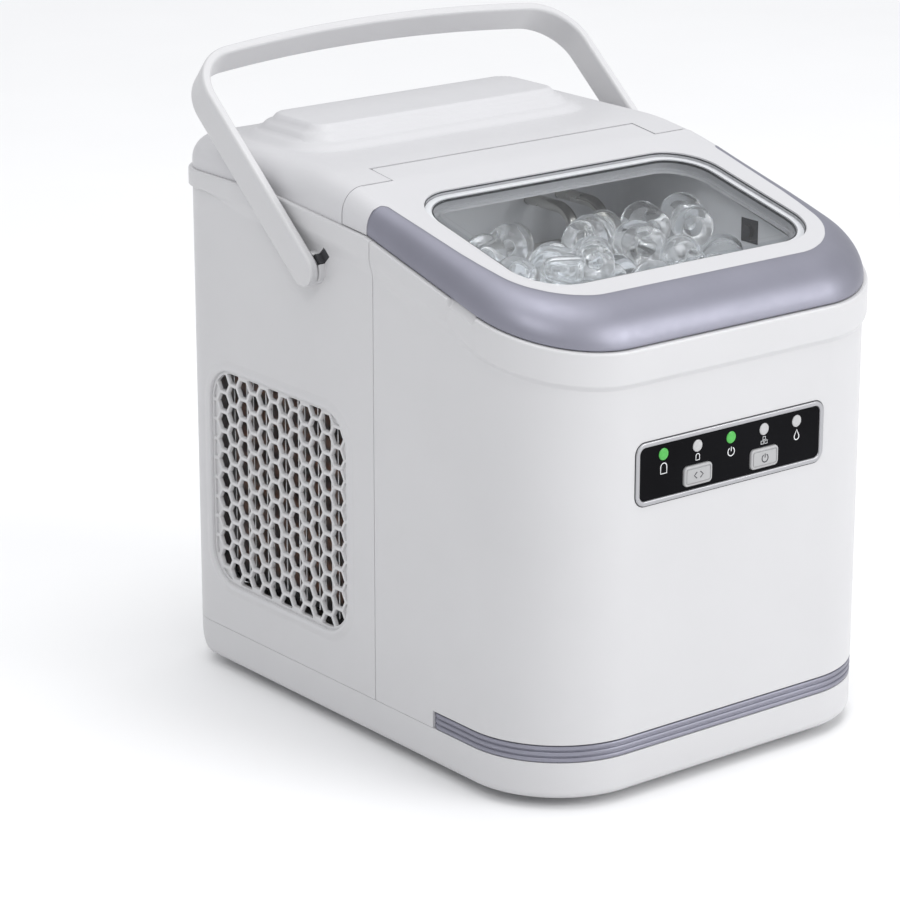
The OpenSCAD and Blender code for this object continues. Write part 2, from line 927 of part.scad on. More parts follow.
module drain_pipe() color("whitesmoke") {
  difference() {
    union() {
      rod_z(drain_x, -20, drain_z, 95, 4.9);
      rod_y(drain_x, -26, 122, drain_z, 7);
      rod_y(drain_x, 122, 140.6, drain_z, 10);
    }
    rod_z(drain_x, -20, drain_z, 100, 3.5);
    rod_y(drain_x, -22, 128, drain_z, 4.5);
    rod_y(drain_x, 127, 150, drain_z, 7.08);
  }
}

module drain_plug() color("dimgray") {
  rod_y(drain_x, 127.5, 141, drain_z, 7);
  rod_y(drain_x, 141, 144.6, drain_z, 10.6);
}

// ---------- refrigeration ----------

module compressor() color([0.12, 0.12, 0.13]) {
  difference() {
    union() {
      rod_z(comp_x, comp_y, 36, 128, 42);
      translate([comp_x, comp_y, 128]) intersection() {
        scale(1) translate([0, 0, -36]) sphere(r = 55.3, $fn = 96);
        rod_z(0, 0, 0, 30, 42);
      }
      rod_z(comp_x, comp_y, 26, 36, 36);
      rod_z(comp_x, comp_y, 69, 72, 43.2);
    }
    rod_z(comp_x + 12, comp_y - 25, 110, 170, 3.05);
    rod_z(comp_x - 20, comp_y - 10, 110, 170, 3.05);
  }
}

module compressor_foot() color("dimgray") {
  difference() {
    translate([comp_x - 46, comp_y - 46, 22]) cube([92, 92, 2.5]);
    for (x = [comp_x - 38, comp_x + 38]) for (y = [comp_y - 38, comp_y + 38])
      rod_z(x, y, 10, 40, 4.6);
  }
  rod_z(comp_x, comp_y, 24.5, 26, 30);
}

module compressor_grommets() color("black") {
  for (x = [comp_x - 38, comp_x + 38]) for (y = [comp_y - 38, comp_y + 38]) {
    rod_z(x, y, 14, 22, 7.5);
    rod_z(x, y, 22, 24.5, 4.5);
    rod_z(x, y, 24.5, 29, 7);
    rod_z(x, y, 8.5, 14, 1.9);
  }
}

module fin_plate() {
  difference() {
    translate([-104, 52]) square([20, 104]);
    for (j = [0 : 7]) translate([-94, 59 + j * 12.8]) circle(r = 3.55, $fn = 24);
  }
}

module condenser_fins() color("silver") {
  for (i = [0 : 18]) on_front(8 + i * 5.4, 8.8 + i * 5.4) fin_plate();
}

module condenser_tube() color("peru") {
  for (j = [0 : 7]) rod_y(-94, 7, 106.9, 59 + j * 12.8, 3.5);
  for (j = [0 : 6])
    translate([-94, j % 2 == 0 ? 106.9 : 7, 65.4 + j * 12.8])
      rotate([0, -90, 0]) rotate([0, 0, j % 2 == 0 ? 0 : 180])
        rotate_extrude(angle = 180, $fn = 64) translate([6.4, 0]) circle(r = 3.5, $fn = 24);
}

module fan_shroud() color("dimgray") {
  difference() {
    on_side(-82, -80) rounded_rect(9, 109, 54, 154, 8);
    rod_x(-90, -70, fan_y, fan_z, 47);
  }
  difference() {
    rod_x(-80, -58, fan_y, fan_z, 49);
    rod_x(-81, -50, fan_y, fan_z, 47);
  }
  for (a = [30, 150, 270]) translate([0, fan_y, fan_z]) rotate([a, 0, 0])
    translate([-60, 18.4, -3]) cube([3, 29.6, 6]);
  difference() {
    rod_x(-60, -48, fan_y, fan_z, 20.4);
    rod_x(-70, -40, fan_y, fan_z, 18.1);
  }
}

module fan_motor() color("silver") {
  difference() {
    union() {
      rod_x(-58, -30, fan_y, fan_z, 18);
      rod_x(-60, -58, fan_y, fan_z, 7);
    }
    rod_x(-70, -38, fan_y, fan_z, 2.06);
  }
}

module fan_wheel() color([0.2, 0.2, 0.2]) {
  rod_x(-77, -62, fan_y, fan_z, 11);
  rod_x(-62, -40, fan_y, fan_z, 2);
  for (i = [0 : 6]) translate([-69.5, fan_y, fan_z]) rotate([i * 360 / 7, 0, 0])
    rotate([0, 0, 32]) translate([-0.8, 8, -11]) rotate([0, 0, -32]) rotate([0, 32, 0])
      translate([-0.8, 0, -11]) intersection() {
        cube([1.6, 36, 22]);
        translate([-5, -2, 0]) cube([20, 36, 22]);
      }
}

module filter_drier() color("peru") {
  rod_z(-20, 120, 100, 150, 8);
  rod_z(-20, 120, 150, 158, 3);
  rod_z(-20, 120, 92, 100, 3);
}

// up from the manifold, back through the liner and down to the compressor top
module refrigerant_run(x, y1, z1) {
  rod_z(x, tray_y, tray_z + 14.1, 226, 3);
  bend(x, tray_y + 12, 226, [90, 0, -90], 3);
  rod_y(x, tray_y + 12, y1 - 12, 238, 3);
  bend(x, y1 - 12, 226, [90, 0, 90], 3);
  rod_z(x, y1, z1, 226, 3);
}

module refrigerant_tubes() color("peru") {
  refrigerant_run(50, 60, 136);
  refrigerant_run(30, 120, 176);
  rod_z(18, 75, 136, 176, 3);
}

module main_board() color("darkgreen") {
  translate([-60, -110, 30]) cube([90, 40, 1.6]);
  for (x = [-56, 26]) for (y = [-106, -74]) rod_z(x, y, foot_h + wall, 30, 2.5);
  translate([-50, -104, 31.6]) cube([22, 26, 18]);
  translate([-20, -100, 31.6]) cube([16, 14, 10]);
  rod_z(10, -92, 31.6, 50, 8);
}

module cord_gland() color("black") {
  difference() {
    union() {
      rod_y(72, 128, 143.3, drain_z, 7);
      rod_y(72, 143.5, 145.2, drain_z, 9);
      rod_y(72, 138, 140.8, drain_z, 9);
      rod_y(72, 143.2, 143.6, drain_z, 7);
    }
    rod_y(72, 143.4, 160, drain_z, 3.6);
  }
}

// ---------- output ----------

base_tray();
rubber_feet();
base_screws();
front_casing();
rear_casing();
base_trim_strip();
left_vent_grille();
right_vent_grille();
rear_louvre();
top_cover();
hinge_pins();
lid_frame();
lid_band();
lid_inner_ring();
lid_window();
window_gasket();
carry_handle();
panel_bezel();
panel_face();
indicator_lights();
power_button();
select_button();
control_board();
tact_switches();
inner_liner();
insulation_pads();
ice_basket();
evaporator_manifold();
freezing_fingers();
water_tray();
ice_shovel();
tray_shafts();
tray_motor();
tray_bush();
ice_sensors();
water_pump();
water_hose();
drain_pipe();
drain_plug();
compressor();
compressor_foot();
compressor_grommets();
condenser_fins();
condenser_tube();
fan_shroud();
fan_motor();
fan_wheel();
filter_drier();
refrigerant_tubes();
main_board();
cord_gland();
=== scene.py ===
"""Looks of a portable countertop ice maker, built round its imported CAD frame."""
import random
from math import acos, asin, atan, atan2, cos, degrees, hypot, pi, radians, sin, sqrt

import bmesh
import bpy
import numpy as np
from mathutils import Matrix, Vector


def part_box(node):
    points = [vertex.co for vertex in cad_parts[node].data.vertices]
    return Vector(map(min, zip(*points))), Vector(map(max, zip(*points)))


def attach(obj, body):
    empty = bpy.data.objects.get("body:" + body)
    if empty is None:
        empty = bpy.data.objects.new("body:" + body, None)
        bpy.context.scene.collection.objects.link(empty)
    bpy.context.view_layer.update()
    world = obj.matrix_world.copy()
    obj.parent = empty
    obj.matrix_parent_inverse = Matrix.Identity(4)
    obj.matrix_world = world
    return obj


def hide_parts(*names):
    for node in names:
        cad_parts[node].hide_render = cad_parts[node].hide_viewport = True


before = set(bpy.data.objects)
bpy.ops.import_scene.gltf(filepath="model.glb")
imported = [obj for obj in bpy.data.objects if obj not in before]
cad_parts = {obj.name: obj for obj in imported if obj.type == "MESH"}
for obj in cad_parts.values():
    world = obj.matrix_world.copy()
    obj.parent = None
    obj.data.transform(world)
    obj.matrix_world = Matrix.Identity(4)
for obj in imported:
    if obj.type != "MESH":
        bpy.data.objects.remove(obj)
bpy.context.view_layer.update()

MM = 0.001
scene = bpy.context.scene

# ---- camera
AZ, EL = radians(-38.132), radians(17.598)
cam_data = bpy.data.cameras.new("view")
cam_data.sensor_width = 36
cam_data.lens = 138.35
cam_data.clip_end = 50
camera = bpy.data.objects.new("view", cam_data)
camera.location = (-1.0345, -1.2527, 0.6380)
camera.rotation_euler = (pi / 2 - EL, 0, AZ)
scene.collection.objects.link(camera)
scene.camera = camera

# ---- sizes, in millimetres
casing_lo, casing_hi = (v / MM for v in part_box("base_tray"))
HW = casing_hi.x
FRONT, REAR = casing_lo.y, casing_hi.y
FOOT = casing_lo.z
TRAY_TOP = casing_hi.z
R_FRONT, R_REAR = 50.0, 22.0
WALL = 2.5
SEAM = -18.4
STRIP_TOP = 32.0
STRIP_END = -63.4
COVER_TOP = 272.8
HINGE = (13.5, 266.0)
LID_REAR = 4.4
PIVOT = (26.2, 228.0)
LEAN = radians(50.3)
PANEL_Z = 157.0
LAMP_PITCH = 20.6
SLOPE = atan(0.24)


def full_turn(n):
    """n angles round a full circle."""
    return [2 * pi * k / n for k in range(n)]


def smooth(a, b, t):
    """0 before a, 1 after b, and a soft step between them."""
    u = min(1.0, max(0.0, (t - a) / (b - a)))
    return u * u * (3 - 2 * u)


def table(pairs, t):
    """Straight-line reading of a short table."""
    if t <= pairs[0][0]:
        return pairs[0][1]
    for (t0, v0), (t1, v1) in zip(pairs, pairs[1:]):
        if t <= t1:
            return v0 + (v1 - v0) * (t - t0) / (t1 - t0)
    return pairs[-1][1]


def rim_z(y):
    """Height of the casing rim."""
    if y > 56:
        return 257.2
    if y > -14:
        return 257.2 - (56 - y) * 0.09
    return 250.9 - (-14 - y) * 0.262


def top_z(y):
    """Height of the sloping lid and of the cover behind it."""
    if y < 5:
        return 269.6 + 0.24 * (y - 5)
    rise = 269.6 + 0.135 * (y - 5)
    k = 1.2
    h = max(k - abs(rise - COVER_TOP), 0) / k
    return min(rise, COVER_TOP) - h * h * k / 4


# ---- mesh helpers
class Mesh:
    """Collects closed pieces of mesh, in millimetres, for one object."""

    def __init__(self):
        self.verts, self.faces, self.mats = [], [], []

    def add(self, verts, faces, mat=0):
        base = len(self.verts)
        self.verts += [tuple(v) for v in verts]
        self.faces += [[i + base for i in f] for f in faces]
        self.mats += [mat] * len(faces)
        return self

    def loft(self, rings, closed=True, wrap=False, caps=True, mat=0):
        """Quads between rings of equal count. wrap joins the last ring to the first."""
        n = len(rings[0])
        faces = []
        count = len(rings)
        for a in range(count if wrap else count - 1):
            b = (a + 1) % count
            for i in range(n if closed else n - 1):
                j = (i + 1) % n
                faces.append([a * n + i, a * n + j, b * n + j, b * n + i])
        if caps and not wrap:
            faces.append(list(range(n))[::-1])
            faces.append([(count - 1) * n + i for i in range(n)])
        return self.add([p for r in rings for p in r], faces, mat)

    def object(self, name, keep_faces=False):
        me = bpy.data.meshes.new(name)
        me.from_pydata([(x * MM, y * MM, z * MM) for x, y, z in self.verts], [], self.faces)
        me.polygons.foreach_set("material_index", self.mats)
        bm = bmesh.new()
        bm.from_mesh(me)
        bmesh.ops.remove_doubles(bm, verts=bm.verts, dist=2e-6)
        bmesh.ops.dissolve_degenerate(bm, dist=1e-7, edges=bm.edges)
        if not keep_faces:
            bmesh.ops.recalc_face_normals(bm, faces=bm.faces)
        bm.to_mesh(me)
        bm.free()
        ob = bpy.data.objects.new(name, me)
        scene.collection.objects.link(ob)
        return ob


def modify(ob, kind, **values):
    """Adds a modifier with these values and applies it to the mesh."""
    mod = ob.modifiers.new(kind.lower(), kind)
    for key, value in values.items():
        setattr(mod, key, value)
    bpy.context.view_layer.update()
    graph = bpy.context.evaluated_depsgraph_get()
    me = bpy.data.meshes.new_from_object(ob.evaluated_get(graph))
    ob.modifiers.clear()
    old, ob.data = ob.data, me
    bpy.data.meshes.remove(old)


def boolean(ob, cutter, operation="DIFFERENCE"):
    modify(ob, "BOOLEAN", operation=operation, solver="EXACT", object=cutter)
    bpy.data.objects.remove(cutter)


def finish(ob, body, mats, replaces=(), sharp=38, weighted=True):
    """Shading, materials and the frame's bookkeeping for one piece."""
    for m in mats if isinstance(mats, (list, tuple)) else [mats]:
        ob.data.materials.append(m)
    ob.data.polygons.foreach_set("use_smooth", [True] * len(ob.data.polygons))
    ob.data.set_sharp_from_angle(angle=radians(sharp))
    if weighted:
        mod = ob.modifiers.new("normals", "WEIGHTED_NORMAL")
        mod.keep_sharp = True
        mod.weight = 60
    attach(ob, body)
    if replaces:
        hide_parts(*replaces)
    return ob


def arc(cx, cy, r, a0, a1, n):
    """Points of an arc with their outward directions; angles in degrees."""
    out = []
    for k in range(n + 1):
        a = radians(a0 + (a1 - a0) * k / n)
        out.append((cx + r * cos(a), cy + r * sin(a), cos(a), sin(a)))
    return out


def rrect(u0, u1, v0, v1, r, n=10):
    """Rounded rectangle as (u, v, outward u, outward v)."""
    corners = ((u1 - r, v1 - r, 0), (u0 + r, v1 - r, 90), (u0 + r, v0 + r, 180), (u1 - r, v0 + r, 270))
    return [p for cu, cv, a0 in corners for p in arc(cu, cv, r, a0, a0 + 90, n)]


def circle(u, v, r, n=32):
    return [(u + r * cos(a), v + r * sin(a), cos(a), sin(a)) for a in full_turn(n)]


def on_front(u, v, h):
    return (u, FRONT - h, v)


def on_rear(u, v, h):
    return (u, REAR + h, v)


def on_left(u, v, h):
    return (-HW - h, u, v)


def on_right(u, v, h):
    return (HW + h, u, v)


def on_lid(u, v, h):
    """Point in the lid's plane: v runs forward from the rear edge, h stands off the lid."""
    c, s = cos(SLOPE), sin(SLOPE)
    return (u, LID_REAR + 0.6 + v * c - h * s, 269.6 + v * s + h * c)


def rings(outline, profile, place):
    return [[place(u + o * nu, v + o * nv, h) for u, v, nu, nv in outline] for o, h in profile]


def plate(outline, profile, place):
    """Solid plate: one ring of the outline for each (grown by, height)."""
    return Mesh().loft(rings(outline, profile, place))


def band(outline, loop, place):
    """Closed bead round an outline, whose section is the closed loop of (grown by, height)."""
    return Mesh().loft(rings(outline, loop, place), wrap=True)


def lathe(profile, place, n=32):
    """Solid of revolution from (radius, height) points that start and end off the axis."""
    return Mesh().loft([[place(r * cos(a), r * sin(a), h) for a in full_turn(n)] for r, h in profile])


def steps(a, b, step, extra=()):
    """Values from a to b at about that step, with the extra ones put in."""
    n = max(1, round(abs(b - a) / step))
    vals = [a + (b - a) * k / n for k in range(n + 1)]
    lo, hi = min(a, b), max(a, b)
    vals += [e for e in extra if lo < e < hi]
    return sorted(set(round(v, 4) for v in vals), reverse=a > b)


def half_path(side, y_end, step, extra, corner):
    """Plan outline round the front (side -1) or the rear (side 1), from one flank to the other."""
    end, r, a0 = (FRONT, R_FRONT, 180) if side < 0 else (REAR, R_REAR, 0)
    xc, yc = side * (HW - r), end - side * r
    flank = [(side * HW, y, side, 0.0) for y in steps(y_end, yc, step, extra)]
    across = [(x, end, 0.0, side) for x in steps(xc, -xc, 8.0)]
    return (flank[:-1] + arc(xc, yc, r, a0, a0 + 90, corner)[:-1] + across[:-1]
            + arc(-xc, yc, r, a0 + 90, a0 + 180, corner)[:-1]
            + [(-side * HW, y, -side, 0.0) for _, y, _, _ in flank[::-1]])


def front_path(y_end, step=6.0, extra=()):
    return half_path(-1.0, y_end, step, extra, 30)


def rear_path(y_end, step=6.0, extra=()):
    return half_path(1.0, y_end, step, extra, 18)


def beside(p, off, z):
    """Point at height z, off outward from a point of a plan path."""
    return (p[0] + off * p[2], p[1] + off * p[3], z)


def sweep(path, loop_at):
    """Closed section carried along an open plan path; loop_at(point) gives its (offset, height) list."""
    return Mesh().loft([[beside(p, o, z) for o, z in loop_at(p)] for p in path])


# ---- materials
def feed(tree, node, inputs):
    """Sets the node's named inputs: a plain value, or another node's output to link."""
    for key, value in inputs.items():
        if isinstance(value, bpy.types.NodeSocket):
            tree.links.new(value, node.inputs[key])
        else:
            node.inputs[key].default_value = value


def shader(tree, kind, output, **inputs):
    """A new shader node, and its named or numbered output. Underscores in input names stand for spaces."""
    n = tree.nodes.new("ShaderNode" + kind)
    feed(tree, n, {key.replace("_", " "): value for key, value in inputs.items()})
    return n.outputs[output]


def new_material(name):
    """An empty material: itself, its tree, its Principled node and its object coordinates."""
    m = bpy.data.materials.new(name)
    m.use_nodes = True
    t = m.node_tree
    return m, t, t.nodes["Principled BSDF"], shader(t, "TexCoord", "Object")


def noise(tree, coords, scale, detail=3.0, rough=0.5):
    return shader(tree, "TexNoise", "Fac", Scale=scale, Detail=detail, Roughness=rough, Vector=coords)


def spread(tree, value, low, high):
    """The noise value carried from its usual 0.3-0.7 to low-high."""
    return shader(tree, "MapRange", "Result", From_Min=0.3, From_Max=0.7, To_Min=low, To_Max=high, Value=value)


def two_tone(tree, value, a, b):
    """Colour between a and b by the noise value."""
    n = tree.nodes.new("ShaderNodeValToRGB")
    for element, position, colour in zip(n.color_ramp.elements, (0.3, 0.7), (a, b)):
        element.position, element.color = position, (*colour, 1)
    tree.links.new(value, n.inputs["Fac"])
    return n.outputs["Color"]


def dents(tree, height, strength, distance):
    return shader(tree, "Bump", "Normal", Strength=strength, Distance=distance, Height=height)


def mix(tree, share, first, second):
    """Two shaders mixed by a share of the second."""
    n = tree.nodes.new("ShaderNodeMixShader")
    feed(tree, n, {"Fac": share, 1: first, 2: second})
    return n.outputs["Shader"]


def material(name, colour, tint=0.03, rough=(0.35, 0.45), grain=700.0, bump=0.03, metal=0.0, cloud=18.0,
             coat=0.0, coat_rough=0.15, spec=0.5, stretch=None, glow=None):
    """Principled finish with soft colour clouds, uneven gloss and a fine moulded or brushed grain."""
    m, t, bsdf, coord = new_material(name)
    fine_coord = shader(t, "Mapping", "Vector", Scale=stretch, Vector=coord) if stretch else coord
    a = tuple(max(0.0, c * (1 - tint)) for c in colour)
    b = tuple(min(1.0, c * (1 + tint)) for c in colour)
    feed(t, bsdf, {
        "Base Color": two_tone(t, noise(t, coord, cloud, 4), a, b),
        "Roughness": spread(t, noise(t, coord, cloud * 4.3, 5, 0.6), *rough),
        "Normal": dents(t, noise(t, fine_coord, grain, 2), bump * 10, 0.00004),
        "Metallic": metal, "Coat Weight": coat, "Coat Roughness": coat_rough,
        "Specular IOR Level": spec, "IOR": 1.46, "Transmission Weight": 0.0,
    })
    if glow:
        feed(t, bsdf, {"Emission Color": (*glow[0], 1), "Emission Strength": glow[1]})
    return m


def clear_sheet(name, tint):
    """Clear moulded pane: see-through by Fresnel, with a faint waviness in its shine."""
    m, t, bsdf, coord = new_material(name)
    t.nodes.remove(bsdf)
    waves = dents(t, noise(t, coord, 30, 2), 0.15, 0.0002)
    smear = two_tone(t, noise(t, coord, 55, 5, 0.6), tuple(c * 0.985 for c in tint), tint)
    clear = shader(t, "BsdfTransparent", "BSDF", Color=smear)
    shine = shader(t, "BsdfAnisotropic", "BSDF", Roughness=0.02, Normal=waves)
    power = t.nodes.new("ShaderNodeMath")
    power.operation = "POWER"
    feed(t, power, {0: shader(t, "LayerWeight", "Facing", Blend=0.5, Normal=waves), 1: 5.0})
    share = shader(t, "MapRange", "Result", To_Min=0.006, To_Max=0.42, Value=power.outputs["Value"])
    t.links.new(mix(t, share, clear, shine), t.nodes["Material Output"].inputs["Surface"])
    return m


def ice_material():
    """Melting clear ice: refracting, with a cloudy core, a faint painted glow that brightens it, and lamps let
    through.
    """
    m, t, bsdf, coord = new_material("clear_ice")
    cloudy = noise(t, coord, 90, 4, 0.6)
    feed(t, bsdf, {
        "Base Color": two_tone(t, cloudy, (0.93, 0.95, 0.97), (1.0, 1.0, 1.0)),
        "Roughness": spread(t, cloudy, 0.0, 0.04),
        "Transmission Weight": 1.0, "IOR": 1.31,
        "Normal": dents(t, noise(t, coord, 240, 2), 0.2, 0.0005),
        # faint emission: painted light that brightens the ice, which gives no light of its own
        "Emission Color": (0.95, 0.98, 1.0, 1), "Emission Strength": 0.035,
    })
    frost = shader(t, "BsdfTranslucent", "BSDF", Color=(0.96, 0.97, 0.98, 1))
    milky = mix(t, spread(t, noise(t, coord, 55, 3, 0.5), 0.0, 0.12), bsdf.outputs["BSDF"], frost)
    through = shader(t, "BsdfTransparent", "BSDF", Color=(0.86, 0.88, 0.9, 1))
    whole = mix(t, shader(t, "LightPath", "Is Shadow Ray"), milky, through)
    t.links.new(whole, t.nodes["Material Output"].inputs["Surface"])
    return m


WHITE = material("white_plastic", (0.535, 0.533, 0.543), 0.012, (0.34, 0.42), 1400, 0.022, coat=0.12, coat_rough=0.3)
WHITE_TOP = material("white_plastic_top", (0.530, 0.528, 0.543), 0.012, (0.36, 0.44), 1400, 0.025, coat=0.1,
                     coat_rough=0.35)
SILVER = material("silver_trim", (0.258, 0.258, 0.308), 0.03, (0.43, 0.49), 2600, 0.03, metal=0.78, cloud=40,
                  coat=0.08, coat_rough=0.3)
GRILLE = material("grille_plastic", (0.545, 0.543, 0.55), 0.02, (0.42, 0.52), 1200, 0.03)
RUBBER = material("rubber", (0.035, 0.035, 0.037), 0.15, (0.7, 0.85), 900, 0.08)
STEEL = material("steel", (0.62, 0.62, 0.63), 0.04, (0.22, 0.34), 500, 0.03, metal=1.0, stretch=(8, 1, 1))
SEAL = material("seal", (0.66, 0.665, 0.68), 0.04, (0.4, 0.55), 800, 0.04)
GLOSS = material("black_gloss", (0.004, 0.004, 0.005), 0.25, (0.16, 0.24), 500, 0.006, spec=0.04)
# near-black, for thin rings round the window pane and the panel bezel: painted shade standing in for shadow gaps
SHADE_LINE = material("painted_shade_line", (0.03, 0.032, 0.035), 0.2, (0.4, 0.5), 900, 0.05, spec=0.25)
LAMP_GREEN = material("lamp_green", (0.055, 0.34, 0.055), 0.12, (0.15, 0.25), cloud=900, bump=0.01,
                      glow=((0.16, 0.9, 0.14), 0.05))
LAMP_WHITE = material("lamp_white", (0.40, 0.40, 0.405), 0.06, (0.15, 0.25), cloud=900, bump=0.01,
                      glow=((0.9, 0.9, 0.9), 0.03))
KEY = material("button_grey", (0.36, 0.36, 0.365), 0.02, (0.34, 0.42), 1600, 0.02)
BEZEL = material("bezel_silver", (0.38, 0.38, 0.395), 0.03, (0.26, 0.34), 2200, 0.02, metal=0.8)
BOARD = material("circuit_board", (0.02, 0.12, 0.05), 0.3, (0.3, 0.45), 500, 0.06, cloud=160)
DARK = material("dark_plastic", (0.05, 0.05, 0.055), 0.12, (0.45, 0.6), 900, 0.05)
LINER = material("liner_plastic", (0.70, 0.705, 0.72), 0.03, (0.3, 0.42), 900, 0.03)
BASKET = material("basket_plastic", (0.74, 0.75, 0.77), 0.03, (0.25, 0.4), 900, 0.03)
FOAM = material("foam", (0.72, 0.66, 0.45), 0.1, (0.8, 0.95), 350, 0.3, cloud=120)
NICKEL = material("plated_metal", (0.66, 0.65, 0.62), 0.05, (0.18, 0.3), 700, 0.03, metal=1.0)
HOSE = material("hose", (0.62, 0.64, 0.66), 0.04, (0.3, 0.45), 600, 0.03)
BLACK_STEEL = material("black_steel", (0.018, 0.018, 0.02), 0.2, (0.25, 0.4), 500, 0.08, coat=0.3)
ALUMINIUM = material("aluminium", (0.72, 0.73, 0.74), 0.05, (0.28, 0.42), 900, 0.05, metal=1.0)
COPPER = material("copper", (0.72, 0.34, 0.2), 0.12, (0.2, 0.4), 600, 0.04, metal=1.0, cloud=60)
PRINT = material("print_white", (0.74, 0.75, 0.76), 0.03, (0.4, 0.5), bump=0.01)
PRINT_DARK = material("print_grey", (0.03, 0.03, 0.035), 0.08, (0.4, 0.5), bump=0.01)
CLEAR = clear_sheet("clear_plastic", (0.975, 0.98, 0.985))
ICE = ice_material()

CAD_LOOKS = (
    (RUBBER, "rubber_feet compressor_grommets cord_gland"),
    (STEEL, "base_screws hinge_pins tray_shafts fan_motor"),
    (WHITE, "lid_inner_ring"),
    (SEAL, "window_gasket"),
    (BOARD, "control_board main_board"),
    (DARK, "tact_switches tray_motor ice_sensors water_pump fan_shroud fan_wheel"),
    (LINER, "inner_liner water_tray ice_shovel tray_bush"),
    (FOAM, "insulation_pads"),
    (BASKET, "ice_basket"),
    (NICKEL, "evaporator_manifold freezing_fingers refrigerant_tubes"),
    (HOSE, "water_hose drain_pipe"),
    (BLACK_STEEL, "compressor compressor_foot"),
    (ALUMINIUM, "condenser_fins"),
    (COPPER, "condenser_tube filter_drier"),
)
for look, names in CAD_LOOKS:
    for name in names.split():
        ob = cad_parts[name]
        ob.data.materials.clear()
        ob.data.materials.append(look)

# ---- base tray
def edge_radius(ny):
    return 4 + 14 * smooth(0.0, 1.0, max(0.0, ny))


tray_path = front_path(-18.4)[:-1] + rear_path(-18.4)[:-1]
tray_rings = [[beside(p, -(edge_radius(p[3]) + 1), FOOT + WALL) for p in tray_path],
              [beside(p, -WALL, FOOT + edge_radius(p[3]) + 1) for p in tray_path]]
for off, z in ((-WALL, TRAY_TOP), (-0.3, TRAY_TOP), (-0.1, TRAY_TOP - 0.08), (0, TRAY_TOP - 0.3)):
    tray_rings.append([beside(p, off, z) for p in tray_path])
for k in range(10):
    a = pi / 2 * k / 9
    tray_rings.append([beside(p, -(edge_radius(p[3]) * (1 - cos(a))),
                              FOOT + edge_radius(p[3]) * (1 - sin(a))) for p in tray_path])
tray = Mesh().loft(tray_rings).object("tray_shell")
slots = Mesh()
for i in range(7):
    outline = rrect(-60 + 10 * i, -56 + 10 * i, 40, 110, 1.9, 6)
    slots.loft([[(u, v, z) for u, v, _, _ in outline] for z in (0.0, 14.0)])
for x in (-82, 82):
    for y in (-108, 104):
        slots.loft([[(u, v, z) for u, v, _, _ in circle(x, y, 2.5, 20)] for z in (0.0, 14.0)])
boolean(tray, slots.object("slot_cutter"))
finish(tray, "machine", WHITE, ["base_tray"])

# ---- ridged strip
strip_path = front_path(STRIP_END, 3.0)


def strip_loop(p):
    x, y, nx, ny = p
    end = min(1.0, (STRIP_END - y) / 2.0) if abs(nx) == 1 else 1.0
    f = sqrt(max(0.0, 1 - (1 - max(0.0, end)) ** 2))
    z0 = TRAY_TOP + 0.2
    out = [(-1.75, z0)]
    for i in range(3):
        b = z0 + 2.82 * i
        out += [(-0.85, b), (-0.3, b + 0.12), (-0.06, b + 0.5), (0.0, b + 1.1), (-0.06, b + 1.7), (-0.3, b + 2.1),
                (-0.85, b + 2.25)]
        if i < 2:
            out.append((-0.95, b + 2.55))
    out.append((-1.75, z0 + 2.82 * 2 + 2.25))
    return [(-1.75 + (o + 1.75) * (0.25 + 0.75 * f), z) for o, z in out]


finish(sweep(strip_path, strip_loop).object("ridged_strip"), "machine", SILVER, ["base_trim_strip"],
       sharp=60)

# ---- casings
def notch(y):
    return smooth(-98.6, -96.6, y) * (1 - smooth(-77.6, -75.4, y))


def casing_loop(p, recess):
    x, y, nx, ny = p
    top = rim_z(y)
    z0 = TRAY_TOP + 0.15
    side = smooth(-104, -60, y) * (1 - smooth(76, 122, y))
    front = 1 - smooth(-80, 40, y)
    height = 9.0 + 6.5 * front * (1 - side)
    soft = 1.3 + 2.2 * front + 7.5 * side
    b = notch(y) if abs(nx) == 1 else 0.0
    out = []
    if recess:
        out += [(-1.85, z0), (-1.85, STRIP_TOP + 0.02), (-0.3, STRIP_TOP + 0.04), (-0.06, STRIP_TOP + 0.12),
                (0, STRIP_TOP + 0.4)]
    else:
        out += [(-0.25, z0 - 0.07), (-0.05, z0), (0, z0 + 0.15), (0, z0 + 4), (0, STRIP_TOP + 0.4)]
    out += [(0, 40.0)]
    for k in range(7):
        u = k / 6
        out.append((2.0 * u * u * (3 - 2 * u), top - height - soft * (1 - u) + 0.6))
    out += [(2.0 - 0.9 * b, top - 1.4 - 2.6 * b), (1.88 - 1.5 * b, top - 0.7 - 2.6 * b),
            (1.5 - 2.2 * b, top - 0.2 - 1.9 * b), (0.95 - 2.1 * b, top - 0.9 * b)]
    out += [(-1.9, top), (-2.35, top - 0.2), (-WALL, top - 0.7), (-WALL, z0)]
    return out


def casing(path, recess_at):
    """Shell along the path, with its two ends softened where they meet the other shell."""
    cols = []
    n = len(path)
    for i, p in enumerate(path):
        loop = casing_loop(p, recess_at(p))
        d = min(i, n - 1 - i)
        pull = (0.5, 0.16, 0.0)[d] if d < 3 else 0.0
        cols.append([beside(p, o - pull if o > -WALL / 2 else o, z) for o, z in loop])
    return Mesh().loft(cols)


notch_steps = [-98.6 + 0.25 * k for k in range(9)] + [-77.6 + 0.275 * k for k in range(9)]
front_shell_path = front_path(SEAM - 0.1, 4.0, [SEAM - 0.26, SEAM - 0.6, STRIP_END + 0.1, STRIP_END] + notch_steps)
front_shell = casing(front_shell_path, lambda p: abs(p[2]) < 1 or p[1] <= STRIP_END + 0.01).object("front_shell")
panel_hole = plate(rrect(-56.6, 56.6, PANEL_Z - 13.6, PANEL_Z + 13.6, 4), [(0, -8), (0, 6)], on_front)
boolean(front_shell, panel_hole.object("panel_cutter"))
finish(front_shell, "machine", WHITE, ["front_casing"], sharp=32)

